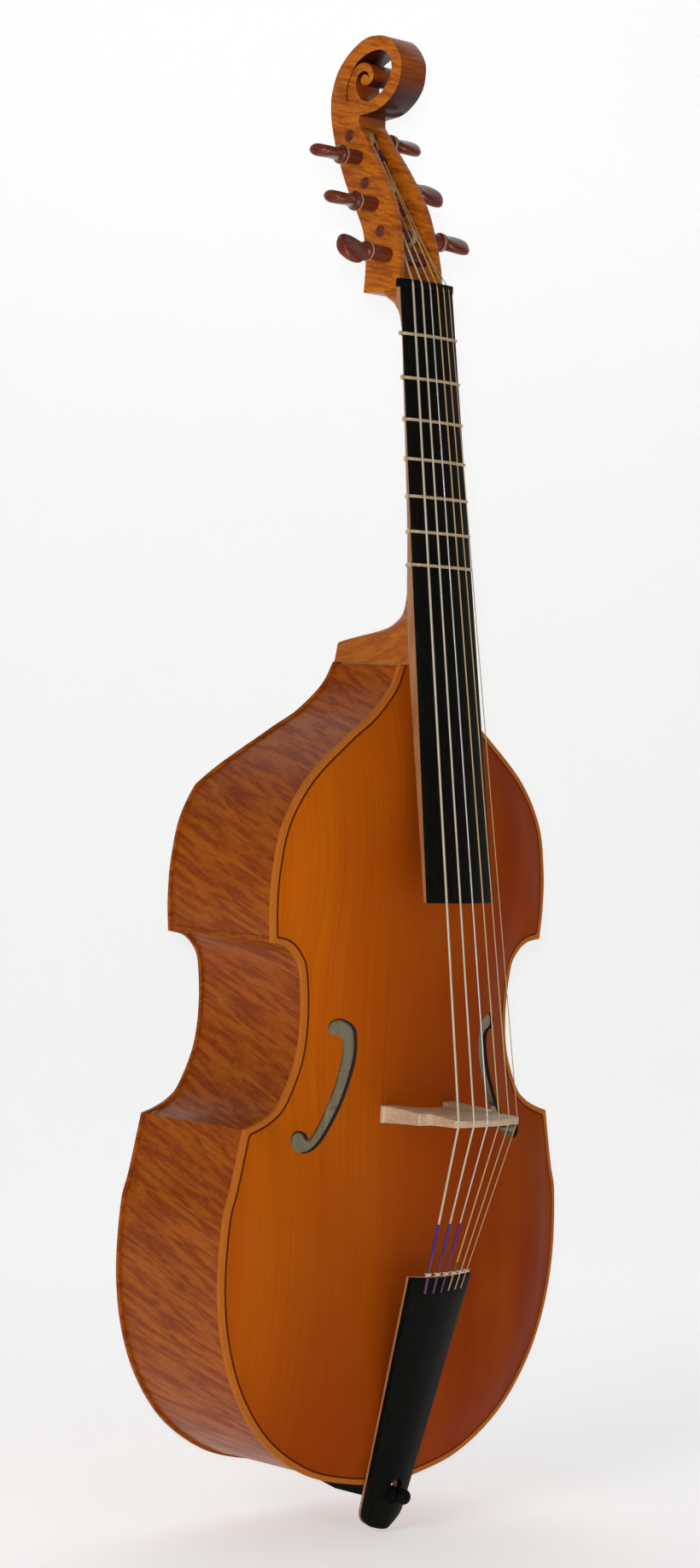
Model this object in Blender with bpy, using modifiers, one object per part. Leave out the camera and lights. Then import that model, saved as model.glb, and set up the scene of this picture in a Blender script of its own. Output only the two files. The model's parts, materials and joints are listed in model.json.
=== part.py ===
"""Six-string bass viol with a flat canted back, tied frets, six friction pegs and an open scroll.

The design frame has its origin in the plane of the belly's edge: x runs to the right seen from
the front, y to the back and z up along the strings, with the nut at z = 1 m. The whole
instrument is then parented to one empty, which puts the world origin on the ledge under the
pegbox, where it hangs.
"""

from math import cos, pi, radians, sin, sqrt, tan

import bmesh
import bpy
import numpy as np
from mathutils import Matrix, Vector

MM = 0.001
GAP = 0.3 * MM

# Driving dimensions.
NUT_Z = 1000 * MM
STRING_LENGTH = 700 * MM
BODY_DEPTH = 123.7 * MM
BODY_TOP_Z = 684 * MM
BACK_FOLD_Z = 575 * MM
TOP_THICKNESS = 4 * MM
BACK_THICKNESS = 3.2 * MM
RIB_THICKNESS = 1.8 * MM
OVERHANG = 2.5 * MM
ARCH_HEIGHT = 19.5 * MM
ARCH_REACH = 38 * MM
LEDGE_Y = 61 * MM
LEDGE_Z = 997 * MM

FINGERBOARD_LENGTH = 512 * MM
FINGERBOARD_EDGE_Y = 20.3 * MM
FINGERBOARD_TILT = radians(8.26)
FINGERBOARD_NUT_HALF = 32 * MM
FINGERBOARD_END_HALF = 40.8 * MM
EBONY_EDGE = 1.6 * MM
FRET_RADIUS = 0.7 * MM
FRETS = 7

BRIDGE_Z = 309.5 * MM
BRIDGE_CROWN_Y = -103 * MM
BRIDGE_SIDE_Y = -97 * MM
STRING_HALF_AT_BRIDGE = 36.5 * MM
STRING_HALF_AT_NUT = 22.4 * MM
STRING_DIAMETERS = [2.0 * MM, 1.7 * MM, 1.4 * MM, 1.2 * MM, 1.0 * MM, 0.8 * MM]

TAIL_TOP = Vector((0, -55 * MM, 176 * MM))
TAIL_FOOT = Vector((0, 1 * MM, -44 * MM))
TAIL_TOP_HALF = 36 * MM
TAIL_FOOT_HALF = 22.5 * MM
TAIL_FACE = 2.2 * MM
TAIL_CORE = 5 * MM

# Pegs from the nut upwards: (y, z) of the axis, the side its head is on, its turn at rest and how
# much further than the sixth peg it stands out.
PEGS = [
    (44.5 * MM, 1028.3 * MM, -1, 55, 9 * MM),
    (56.1 * MM, 1048.7 * MM, 1, 30, 10 * MM),
    (67.0 * MM, 1072.5 * MM, -1, 12, 5 * MM),
    (79.8 * MM, 1091.2 * MM, 1, 40, 3 * MM),
    (91.5 * MM, 1114.0 * MM, -1, 8, 3 * MM),
    (104.4 * MM, 1133.6 * MM, 1, 24, 0),
]
# The string, counted from the left, that winds on each peg, and where across the peg it lies.
PEG_STRING = [0, 5, 1, 4, 2, 3]
WINDING_X = [-13 * MM, 12.5 * MM, -10 * MM, 8.5 * MM, -5 * MM, 4 * MM]
WINDING_RADIUS = 7.6 * MM
WINDING_WIDTH = 6 * MM
SHANK_FAR = 5.3 * MM
SHANK_NEAR = 6.3 * MM
PEG_CLEARANCE = 0.35 * MM
CHEEK = 6 * MM

# Half outline of the belly, (x, z) in millimetres, in three stretches between the corners.
LOWER_BOUT = [(5, -8), (40, -4.2), (92.6, 9), (141.7, 38.4), (175.9, 78.4), (195.9, 122.8)]
LOWER_BOUT += [(204.7, 172.1), (203, 226.9), (195.8, 253.8), (185.2, 300.8)]
WAIST = [(185.2, 300.8), (171, 305.1), (156.5, 311.8), (144.2, 323.2), (129.4, 354.7)]
WAIST += [(125.2, 389.5), (128.8, 425.7), (135.5, 439.2), (147.5, 448.5), (164.9, 452.2)]
UPPER_BOUT = [(164.9, 452.2), (167.2, 480), (165.8, 512), (156.7, 550.7), (130.7, 588.2)]
UPPER_BOUT += [(87, 623.4), (61, 641.4), (38.9, 664.6), (30.3, 684)]
# Side view of the back's outer face, (z, y) in millimetres: flat up to the fold, then bent in.
BACK_PROFILE = [(-20, 123.7), (575, 123.7), (600, 108.5), (620, 98), (640, 89.5), (660, 83.5)]
BACK_PROFILE += [(684, 79)]
SOUND_HOLE = [(85.7, 387.6), (75.8, 377.4), (76.6, 352.2), (88.5, 321.1), (104.7, 295.7)]
SOUND_HOLE += [(122.7, 281.5), (136.1, 282.6), (139.7, 288.6), (132.7, 296.7), (122, 291.3)]
SOUND_HOLE += [(108.3, 310.3), (94.9, 338.5), (88, 366.1), (90.6, 375.6), (99.1, 377.6)]
SOUND_HOLE += [(102, 382), (93.5, 389.1)]
CORNER_BLOCKS = {
    "lower": [(180, 288), (168, 297), (152, 302), (155, 282), (178, 262)],
    "upper": [(159, 461), (146, 458), (134, 453), (136, 470), (158, 486)],
}

# Neck sections in millimetres from the heel up: z, half width, back, exponent of the curve.
NECK_SECTIONS = [
    (684.3, 30.2, 80.2, 30),
    (690, 29.2, 79.6, 30),
    (696, 28.8, 79, 30),
    (700.1, 28.7, 78.2, 24),
    (702.6, 28.9, 71.2, 18),
    (706.6, 29.2, 55.9, 10),
    (709.5, 29.7, 44.8, 6),
    (712.8, 30.5, 33.7, 4),
    (717, 31.5, 25.4, 3),
    (725.8, 33.5, 16.4, 2.2),
    (740, 35.3, 14, 1.75),
    (755, 36.1, 15, 1.6),
    (797, 35.4, 17.7, 1.5),
    (869, 34.1, 23.8, 1.5),
    (955, 32.6, 31, 1.5),
    (966, 32.3, 32.4, 1.5),
    (976, 32, 36, 1.6),
    (984, 31.2, 42.5, 1.8),
    (990, 30, 47, 2.4),
    (997.3, 27.6, 54, 5),
]
# Side view of the pegbox and scroll, (y, z) in millimetres, up the back, down the front and round
# the shallow socket that takes the end of the neck.
HEAD_PROFILE = [(68, 997), (69, 1021), (73.7, 1043), (81, 1059), (99.7, 1087.5), (110, 1106)]
HEAD_PROFILE += [(120, 1127), (128, 1150), (130, 1168), (125.2, 1186.5), (117.2, 1198.6)]
HEAD_PROFILE += [(106.9, 1208), (94.3, 1215.5), (81.4, 1217.6), (68.2, 1215.6), (58, 1208)]
HEAD_PROFILE += [(50.5, 1197), (49.2, 1187), (51.5, 1174.5), (60, 1163), (74.2, 1154)]
HEAD_PROFILE += [(85, 1152), (94.5, 1150.5), (94.7, 1144.5), (86.5, 1133), (65.3, 1106)]
HEAD_PROFILE += [(51.5, 1085), (43, 1070), (35.8, 1049), (29.9, 1025), (26.7, 997.6)]
HEAD_PROFILE += [(54.4, 997.6), (54.4, 997)]
TROUGH = [(0, 1009), (50, 1009), (57.5, 1026), (65, 1048), (76, 1066), (90.5, 1088), (101, 1108)]
TROUGH += [(111, 1128), (115.5, 1144.5), (101, 1144.5), (90, 1140), (40, 1140)]
SCROLL_HOLE = [(99.6, 1197.5), (90.4, 1202.5), (79.6, 1205.1), (70.5, 1204), (64, 1199.5)]
SCROLL_HOLE += [(60.7, 1191.5), (61.1, 1184), (65.7, 1174.8), (72.7, 1167.6), (84.2, 1162.1)]
SCROLL_HOLE += [(93.4, 1163), (104, 1163), (111.5, 1164.5), (112.6, 1172.2), (110.8, 1179.9)]
SCROLL_HOLE += [(108.3, 1184.9), (104.6, 1192)]
VOLUTE_CENTRE = (92.5, 1181)
# The volute's band as (degrees round its centre from the back over the top, radius in millimetres).
VOLUTE_OUTER = [(-87, 24), (-58, 25.5), (-41, 24.4), (-23, 20.9), (0, 17.4), (20, 16.6), (45, 15.8)]
VOLUTE_OUTER += [(90, 14.6), (135, 12.6), (180, 10.1), (215, 7.2), (255, 4.9)]
VOLUTE_INNER = [(-87, 17.6), (-58, 13.3), (-22, 10.6), (10, 9.1), (45, 8.3), (90, 7.6), (135, 6.4)]
VOLUTE_INNER += [(180, 5.3), (215, 4.4), (255, 3)]
BRIDGE_HALF = [(46.8, -21), (44.6, -24), (43.2, -40), (44.6, -57), (44, -61), (37.5, -62)]
BRIDGE_HALF += [(34.5, -66), (35.5, -78), (38.2, -90), (39, -95.5)]
BRIDGE_ARCH = [(0, -39), (14, -37.5), (23, -31), (27.5, -23)]

# Parts inside the body, as ranges across and along it.
BASS_BAR_X = (-40 * MM, -32 * MM)
BASS_BAR_Z = (170 * MM, 530 * MM)
SOUNDPOST_X = 35 * MM
SOUNDPOST_Z = 292 * MM
SOUNDPOST_RADIUS = 5.5 * MM
PLATE_DEPTH = 4 * MM
PLATE_HALF = 126 * MM
PLATE_Z = (262 * MM, 328 * MM)
BRACE_DEPTH = 8 * MM
BRACES = {
    "back_brace_lower": (165 * MM, 104 * MM, 118 * MM),
    "back_brace_fold": (126 * MM, 552 * MM, 571 * MM),
}

MATERIALS = {
    "spruce_varnish": ((0.50, 0.17, 0.03), 0.28, 0.0),
    "maple_varnish": ((0.40, 0.15, 0.04), 0.28, 0.0),
    "head_varnish": ((0.58, 0.24, 0.05), 0.25, 0.0),
    "raw_maple": ((0.72, 0.52, 0.33), 0.55, 0.0),
    "raw_spruce": ((0.76, 0.60, 0.40), 0.6, 0.0),
    "ebony": ((0.012, 0.011, 0.010), 0.38, 0.0),
    "peg_wood": ((0.17, 0.045, 0.022), 0.32, 0.0),
    "gut": ((0.62, 0.47, 0.30), 0.4, 0.0),
    "wound_wire": ((0.75, 0.74, 0.70), 0.3, 1.0),
}


def start_scene():
    for old in list(bpy.data.objects):
        bpy.data.objects.remove(old, do_unlink=True)
    viol = bpy.data.collections.new("bass_viol")
    cutters = bpy.data.collections.new("cutters")
    for collection in (viol, cutters):
        bpy.context.scene.collection.children.link(collection)
    frame = bpy.data.objects.new("viol_frame", None)
    frame.location = (0, -LEDGE_Y, -LEDGE_Z)
    viol.objects.link(frame)
    return viol, cutters, frame


def make_materials():
    made = {}
    for name, (colour, roughness, metallic) in MATERIALS.items():
        material = bpy.data.materials.new(name)
        material.use_nodes = True
        shader = material.node_tree.nodes["Principled BSDF"]
        shader.inputs["Base Color"].default_value = (*colour, 1)
        shader.inputs["Roughness"].default_value = roughness
        shader.inputs["Metallic"].default_value = metallic
        material.diffuse_color = (*colour, 1)
        made[name] = material
    return made


VIOL, CUTTERS, FRAME = start_scene()
FINISH = make_materials()


def place(name, data, finish, smooth=True):
    """A named sub-part in the viol's collection, parented to the viol's frame."""
    thing = bpy.data.objects.new(name, data)
    data.materials.clear()
    data.materials.append(FINISH[finish])
    VIOL.objects.link(thing)
    thing.parent = FRAME
    if smooth and thing.type == "MESH":
        data.polygons.foreach_set("use_smooth", [True] * len(data.polygons))
    return thing


def mesh_of(bm, name):
    bm.normal_update()
    bmesh.ops.recalc_face_normals(bm, faces=bm.faces)
    mesh = bpy.data.meshes.new(name)
    bm.to_mesh(mesh)
    bm.free()
    return mesh


def smooth_line(points, steps, closed=False):
    """A Catmull-Rom curve through the points, in metres, with this many steps in each span."""
    points = np.array(points, float) * MM
    count = len(points)
    if closed:
        ends = (points[-1:], points[:2])
    else:
        ends = (2 * points[:1] - points[1:2], 2 * points[-1:] - points[-2:-1])
    guide = np.vstack([ends[0], points, ends[1]])
    spans = count if closed else count - 1
    line = []
    for span in range(spans):
        a, b, c, d = guide[span : span + 4]
        for step in range(steps):
            t = step / steps
            line.append(
                0.5
                * (
                    2 * b
                    + (c - a) * t
                    + (2 * a - 5 * b + 4 * c - d) * t * t
                    + (3 * b - a - 3 * c + d) * t**3
                )
            )
    if not closed:
        line.append(points[-1])
    return np.array(line)


LOWER_LINE = smooth_line(LOWER_BOUT, 2)
WAIST_LINE = smooth_line(WAIST, 2)
UPPER_LINE = smooth_line(UPPER_BOUT, 2)
HALF_OUTLINE = np.vstack([LOWER_LINE, WAIST_LINE[1:], UPPER_LINE[1:]])


def line_distance(point, line):
    """The shortest distance from a point to a polyline."""
    start = line[:-1]
    along = line[1:] - start
    reach = ((point - start) * along).sum(1) / (along * along).sum(1)
    nearest = start + along * np.clip(reach, 0, 1)[:, None]
    return np.sqrt(((point - nearest) ** 2).sum(1)).min()


def belly_y(x, z):
    """The outer face of the belly: zero at every edge, with the arch rising away from it."""
    power = 3
    total = 0
    for line in (LOWER_LINE, WAIST_LINE, UPPER_LINE):
        for side in (1, -1):
            total += max(line_distance(np.array((side * x, z)), line), 1e-6) ** -power
    reach = total ** (-1 / power)
    return -ARCH_HEIGHT * (1 - np.exp(-((reach / ARCH_REACH) ** 1.6)))


def back_y(z):
    heights, depths = np.array(BACK_PROFILE).T * MM
    return float(np.interp(z, heights, depths))


def back_inner(z):
    """The inner face of the back, less a clear gap, which is wider where the back bends."""
    slope = (back_y(z + MM) - back_y(z - MM)) / (2 * MM)
    clear = GAP if z < BACK_FOLD_Z - 25 * MM else 4 * GAP
    return back_y(z) - BACK_THICKNESS * sqrt(1 + slope * slope) - clear


def sheet(name, rows, thickness, finish, flip=False):
    """An open sheet of quads through rows of points, given its thickness by Solidify."""
    bm = bmesh.new()
    grid = [[bm.verts.new(point) for point in row] for row in rows]
    for low, high in zip(grid[:-1], grid[1:]):
        for column in range(len(low) - 1):
            bm.faces.new((low[column], low[column + 1], high[column + 1], high[column]))
    if flip:
        bmesh.ops.reverse_faces(bm, faces=bm.faces)
    mesh = bpy.data.meshes.new(name)
    bm.to_mesh(mesh)
    bm.free()
    thing = place(name, mesh, finish)
    solid = thing.modifiers.new("thickness", "SOLIDIFY")
    solid.thickness = thickness
    solid.offset = -1
    return thing


def loft(name, rings, finish, smooth=True):
    """A closed solid through a row of unlike rings with equal numbers of points."""
    bm = bmesh.new()
    grid = [[bm.verts.new(point) for point in ring] for ring in rings]
    for low, high in zip(grid[:-1], grid[1:]):
        for index in range(len(low)):
            after = (index + 1) % len(low)
            bm.faces.new((low[index], low[after], high[after], high[index]))
    bm.faces.new(grid[0])
    bm.faces.new(grid[-1])
    return place(name, mesh_of(bm, name), finish, smooth)


def outline_mesh(name, outline, point_at):
    """A flat outline filled and extruded by one each way, then carried into place by point_at."""
    curve = bpy.data.curves.new(name, "CURVE")
    curve.dimensions = "2D"
    curve.fill_mode = "BOTH"
    curve.extrude = 1
    spline = curve.splines.new("POLY")
    spline.points.add(len(outline) - 1)
    for point, (u, v) in zip(spline.points, outline):
        point.co = (u, v, 0, 1)
    spline.use_cyclic_u = True
    holder = bpy.data.objects.new(name, curve)
    bpy.context.scene.collection.objects.link(holder)
    bpy.context.view_layer.update()
    graph = bpy.context.evaluated_depsgraph_get()
    mesh = bpy.data.meshes.new_from_object(holder.evaluated_get(graph))
    bpy.data.objects.remove(holder)
    bm = bmesh.new()
    bm.from_mesh(mesh)
    bmesh.ops.remove_doubles(bm, verts=bm.verts, dist=1e-7)
    for vertex in bm.verts:
        vertex.co = point_at(*vertex.co)
    bm.normal_update()
    bmesh.ops.recalc_face_normals(bm, faces=bm.faces)
    bm.to_mesh(mesh)
    bm.free()
    mesh.name = name
    return mesh


def cutter(name, mesh):
    thing = bpy.data.objects.new(name, mesh)
    thing.hide_render = True
    thing.display_type = "WIRE"
    CUTTERS.objects.link(thing)
    thing.parent = FRAME
    return thing


def boolean(thing, tool, operation="DIFFERENCE"):
    change = thing.modifiers.new(tool.name, "BOOLEAN")
    change.operation = operation
    change.solver = "EXACT"
    change.object = tool


def cylinder_mesh(name, radius, length, segments, matrix):
    bm = bmesh.new()
    bmesh.ops.create_cone(
        bm,
        cap_ends=True,
        segments=segments,
        radius1=radius,
        radius2=radius,
        depth=length,
        matrix=matrix,
    )
    return mesh_of(bm, name)


def box_part(name, low, high, finish):
    bm = bmesh.new()
    bmesh.ops.create_cube(bm, size=1)
    size = Vector(high) - Vector(low)
    bmesh.ops.scale(bm, vec=size, verts=bm.verts)
    thing = place(name, mesh_of(bm, name), finish, smooth=False)
    thing.location = (Vector(low) + Vector(high)) / 2
    return thing


def make_belly():
    across = [-1, -0.965, -0.9, -0.8, -0.66, -0.44, -0.22, 0, 0.22, 0.44, 0.66, 0.8, 0.9, 0.965, 1]
    rows = []
    for half, z in HALF_OUTLINE:
        rows.append([(half * u, belly_y(half * u, z), z) for u in across])
    belly = sheet("top_plate", rows, TOP_THICKNESS, "spruce_varnish")
    hole = smooth_line(SOUND_HOLE, 2, closed=True)
    for side, word in ((-1, "left"), (1, "right")):
        name = f"sound_hole_{word}"

        def through(u, v, w, side=side):
            return Vector((side * u, 30 * MM * w - 10 * MM, v))

        boolean(belly, cutter(name, outline_mesh(name, hole, through)))


def make_back():
    levels = sorted({*HALF_OUTLINE[:, 1], *(z * MM for z, _ in BACK_PROFILE[1:-1])})
    rows = []
    for z in levels:
        half = float(np.interp(z, HALF_OUTLINE[:, 1], HALF_OUTLINE[:, 0]))
        rows.append([(half * u, back_y(z), z) for u in (-1, 0, 1)])
    sheet("back_plate", rows, BACK_THICKNESS, "maple_varnish", flip=True)


def rib_path(line, start, end):
    """The outline moved in by the overhang, trimmed to where the neighbouring ribs meet it."""
    along = np.gradient(line, axis=0)
    along /= np.linalg.norm(along, axis=1)[:, None]
    inward = np.stack([-along[:, 1], along[:, 0]], axis=1)
    moved = line + inward * OVERHANG
    length = np.append(0, np.cumsum(np.linalg.norm(np.diff(moved, axis=0), axis=1)))
    inside = length[(length > start) & (length < length[-1] - end)]
    stops = [start, *inside, length[-1] - end]
    return np.stack([np.interp(stops, length, moved[:, axis]) for axis in (0, 1)], axis=1)


def make_ribs():
    mitre = RIB_THICKNESS + OVERHANG
    stretches = {
        "lower": rib_path(smooth_line(LOWER_BOUT, 4), 0, mitre + GAP),
        "waist": rib_path(smooth_line(WAIST, 4), OVERHANG, OVERHANG),
        "upper": rib_path(smooth_line(UPPER_BOUT, 4), mitre + GAP, GAP),
    }
    stretches["lower"][0, 0] = 0.5 * MM
    front = TOP_THICKNESS + GAP
    for word, path in stretches.items():
        for side, hand in ((-1, "left"), (1, "right")):
            rows = [
                [(side * x, front, z) for x, z in path],
                [(side * x, back_inner(z), z) for x, z in path],
            ]
            sheet(f"rib_{word}_{hand}", rows, RIB_THICKNESS, "maple_varnish", flip=side > 0)


def make_blocks():
    front = TOP_THICKNESS + 1 * MM
    for word, outline in CORNER_BLOCKS.items():
        outline = np.array(outline) * MM
        deep = back_inner(0.4)
        for side, hand in ((-1, "left"), (1, "right")):

            def inside(u, v, w, side=side, deep=deep):
                return Vector((side * u, front if w < 0 else deep, v))

            name = f"corner_block_{word}_{hand}"
            place(name, outline_mesh(name, outline, inside), "raw_spruce", smooth=False)
    box_part("end_block", (-32 * MM, front, 0), (32 * MM, back_inner(0), 20 * MM), "raw_spruce")
    rings = []
    for z in (652 * MM, BODY_TOP_Z):
        deep = back_inner(z) - GAP
        half = 24 * MM
        rings.append([(-half, front, z), (half, front, z), (half, deep, z), (-half, deep, z)])
    loft("top_block", rings, "raw_spruce", smooth=False)


def make_bass_bar():
    """A bar under the belly that is deepest in the middle of its length."""
    left, right = BASS_BAR_X
    foot, top = BASS_BAR_Z
    clear = TOP_THICKNESS + 0.5 * MM
    rings = []
    for z in np.linspace(foot, top, 9):
        height = (4 + 10 * sin(pi * (z - foot) / (top - foot))) * MM
        under = [belly_y(x, z) + clear for x in (left, right)]
        deep = max(under) + height
        rings.append([(left, under[0], z), (right, under[1], z), (right, deep, z), (left, deep, z)])
    loft("bass_bar", rings, "raw_spruce", smooth=False)


def make_soundpost():
    """The post, the broad plate that it stands on, and the two braces across the back."""
    inner = back_inner(SOUNDPOST_Z)
    low = (-PLATE_HALF, inner - PLATE_DEPTH, PLATE_Z[0])
    box_part("soundpost_plate", low, (PLATE_HALF, inner, PLATE_Z[1]), "raw_maple")
    clear = TOP_THICKNESS + 2 * GAP
    top = belly_y(SOUNDPOST_X + SOUNDPOST_RADIUS, SOUNDPOST_Z) + clear
    foot = inner - PLATE_DEPTH - GAP
    turn = Matrix.Translation((SOUNDPOST_X, (top + foot) / 2, SOUNDPOST_Z))
    turn = turn @ Matrix.Rotation(pi / 2, 4, "X")
    mesh = cylinder_mesh("soundpost", SOUNDPOST_RADIUS, foot - top, 24, turn)
    place("soundpost", mesh, "raw_spruce")
    for name, (half, bottom, upper) in BRACES.items():
        box_part(name, (-half, inner - BRACE_DEPTH, bottom), (half, inner, upper), "raw_spruce")


def board_edge_y(z):
    """The front arris of the fingerboard at this height."""
    return FINGERBOARD_EDGE_Y - (NUT_Z - z) * tan(FINGERBOARD_TILT)


def board_half(z):
    share = (NUT_Z - z) / FINGERBOARD_LENGTH
    return FINGERBOARD_NUT_HALF + (FINGERBOARD_END_HALF - FINGERBOARD_NUT_HALF) * share


def board_rise(z):
    """How far the crown of the fingerboard stands in front of its arrises."""
    return (4.5 + 1.5 * (NUT_Z - z) / FINGERBOARD_LENGTH) * MM


def core_depth(z):
    return float(np.interp(z, [0.488, 0.69, 1.0], [3 * MM, 9.5 * MM, 5 * MM]))


def neck_values(z):
    heights, halves, backs, powers = np.array(NECK_SECTIONS).T
    return [float(np.interp(z / MM, heights, row)) for row in (halves, backs, powers)]


def side_at(z, depth):
    """Half the width this far behind the fingerboard's front arris."""
    _, back, power = neck_values(z)
    full = back * MM - board_edge_y(z)
    rounded = board_half(z) * (1 - min(depth / full, 1) ** power) ** (1 / power)
    upright = board_half(z) - 0.12 * depth
    if z < 0.70:
        return upright
    return min(rounded, upright)


def neck_curve(half, edge, full, power, first, count):
    """A superellipse round the back of the neck, from the right side to the left."""
    points = []
    for angle in np.linspace(first, pi - first, count):
        across = abs(cos(angle)) ** (2 / power) * (1 if cos(angle) > 0 else -1)
        points.append((half * across, edge + full * sin(angle) ** (2 / power)))
    return points


def make_neck():
    rings = []
    for z, half, back, power in NECK_SECTIONS:
        z *= MM
        edge = board_edge_y(z)
        front = edge + EBONY_EDGE + core_depth(z) + 2 * GAP
        full = back * MM - edge
        first = np.arcsin(((front - edge) / full) ** (power / 2))
        curve = neck_curve(half * MM, edge, full, power, first, 18)
        rings.append([(x, y, z) for x, y in curve])
    loft("neck", rings, "maple_varnish")


def make_fingerboard():
    levels = [0.488, 0.60, 0.69, 0.72, 0.76, 0.85, 0.92, 0.955, 0.976, 1.0]
    board, core = [], []
    for z in levels:
        edge = board_edge_y(z)
        half = board_half(z)
        rise = board_rise(z)
        crown = [(half * u, edge - rise * (1 - u * u), z) for u in np.linspace(-1, 1, 9)]
        under = side_at(z, EBONY_EDGE)
        board.append([*crown, (under, edge + EBONY_EDGE, z), (-under, edge + EBONY_EDGE, z)])
        top = EBONY_EDGE + GAP
        deep = EBONY_EDGE + core_depth(z)
        depths = (top, (top + deep) / 2, deep)
        right = [(side_at(z, depth), edge + depth, z) for depth in depths]
        left = [(-x, y, z) for x, y, z in reversed(right)]
        core.append([*right, *left])
    loft("fingerboard", board, "ebony")
    loft("fingerboard_core", core, "raw_maple")


def make_nut():
    rings = []
    for z, rise in ((NUT_Z + GAP, 5.5 * MM), (NUT_Z + 5 * MM, 6.3 * MM), (NUT_Z + 7 * MM, 4.6 * MM)):
        half = FINGERBOARD_NUT_HALF - 0.3 * MM
        edge = FINGERBOARD_EDGE_Y - 0.3 * MM
        crown = [(half * u, edge - rise * (1 - u * u), z) for u in np.linspace(-1, 1, 9)]
        rings.append([*crown, (half, 26.3 * MM, z), (-half, 26.3 * MM, z)])
    loft("nut", rings, "ebony")


def make_frets():
    for number in range(1, FRETS + 1):
        z = NUT_Z - STRING_LENGTH * (1 - 2 ** (-number / 12))
        clear = FRET_RADIUS + 0.7 * MM
        edge = board_edge_y(z)
        half = board_half(z)
        rise = board_rise(z)
        _, back, power = neck_values(z)
        full = back * MM - edge
        loop = [(half * u, edge - rise * (1 - u * u)) for u in np.linspace(-1, 1, 11)]
        loop = np.array(loop + neck_curve(half, edge, full, power, 0.25, 19))
        along = np.roll(loop, -1, axis=0) - np.roll(loop, 1, axis=0)
        along /= np.linalg.norm(along, axis=1)[:, None]
        loop = loop + np.stack([along[:, 1], -along[:, 0]], axis=1) * clear
        curve = bpy.data.curves.new(f"fret_{number}", "CURVE")
        curve.dimensions = "3D"
        curve.bevel_depth = FRET_RADIUS
        curve.bevel_resolution = 1
        spline = curve.splines.new("POLY")
        spline.points.add(len(loop) - 1)
        for point, (x, y) in zip(spline.points, loop):
            point.co = (x, y, 0, 1)
        spline.use_cyclic_u = True
        place(f"fret_{number}", curve, "gut").location = (0, 0, z)


def head_half(z):
    """Half the width of the pegbox, tapering to the scroll."""
    return float(np.interp(z, [0.985, 1.160], [28.5 * MM, 15.5 * MM]))


def volute_outline():
    """A band that leaves the scroll's back wall and curls over the top and down in to the eye."""
    centre = np.array(VOLUTE_CENTRE) * MM
    sides = []
    for spiral in (VOLUTE_OUTER, VOLUTE_INNER):
        degrees, radii = np.array(spiral, float).T
        turns = np.radians(np.linspace(degrees[0], degrees[-1], 24))
        radius = np.interp(turns, np.radians(degrees), radii) * MM
        sides.append(centre + np.stack([np.cos(turns), np.sin(turns)], axis=1) * radius[:, None])
    return np.vstack([sides[0], sides[1][::-1]])


def make_pegbox():
    def solid(shrink):
        def at(u, v, w):
            return Vector((w * (head_half(v) - shrink), u, v))

        return at

    profile = np.array(HEAD_PROFILE) * MM
    pegbox = place("pegbox", outline_mesh("pegbox", profile, solid(0)), "head_varnish", False)
    trough = outline_mesh("trough", np.array(TROUGH) * MM, solid(CHEEK))
    boolean(pegbox, cutter("trough", trough))
    hole = smooth_line(SCROLL_HOLE, 2, closed=True)
    boolean(pegbox, cutter("scroll_hole", outline_mesh("scroll_hole", hole, solid(-5 * MM))))
    volute = outline_mesh("volute", volute_outline(), solid(0.8 * MM))
    boolean(pegbox, cutter("volute", volute), "UNION")
    eye_at = Matrix.Translation((0, VOLUTE_CENTRE[0] * MM, VOLUTE_CENTRE[1] * MM))
    eye_at = eye_at @ Matrix.Rotation(pi / 2, 4, "Y")
    eye = cylinder_mesh("volute_eye", 4.5 * MM, 28.4 * MM, 18, eye_at)
    boolean(pegbox, cutter("volute_eye", eye), "UNION")
    for number, (y, z, side, _, _) in enumerate(PEGS, 1):
        half = head_half(z) + 4 * MM
        bore = bpy.data.meshes.new(f"bore_{number}")
        bm = bmesh.new()
        bmesh.ops.create_cone(
            bm,
            cap_ends=True,
            segments=24,
            radius1=shank_radius(-half, head_half(z)) + PEG_CLEARANCE,
            radius2=shank_radius(half, head_half(z)) + PEG_CLEARANCE,
            depth=2 * half,
            matrix=Matrix.Translation((0, y, z)) @ Matrix.Rotation(side * pi / 2, 4, "Y"),
        )
        bm.to_mesh(bore)
        bm.free()
        boolean(pegbox, cutter(f"bore_{number}", bore))


def shank_radius(along, half):
    """The tapered shank's radius, this far from the middle towards the head."""
    return SHANK_FAR + (SHANK_NEAR - SHANK_FAR) * (along + half) / (2 * half)


def make_pegs():
    for number, (y, z, side, turn, reach) in enumerate(PEGS, 1):
        half = head_half(z)
        sections = [(-half, SHANK_FAR, SHANK_FAR), (half, SHANK_NEAR, SHANK_NEAR)]
        shapes = [(16, 6.8, 6.8), (17, 8, 8), (20.5, 8, 8), (22, 6.2, 6.2), (25, 9, 5.4)]
        shapes += [(30, 13, 5.2), (36, 14.6, 5.4), (42, 13, 5.4), (46, 9, 5.2), (48, 4, 3)]
        sections += [(half + reach + s * MM, wide * MM, thin * MM) for s, wide, thin in shapes]
        rings = []
        for along, wide, thin in sections:
            ring = []
            for index in range(20):
                angle = 2 * pi * index / 20
                ring.append((along, wide * cos(angle), thin * sin(angle)))
            rings.append(ring)
        peg = loft(f"peg_{number}", rings, "peg_wood")
        peg.location = (0, y, z)
        peg.rotation_euler = (radians(turn) * side, 0, 0 if side > 0 else pi)


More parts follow.
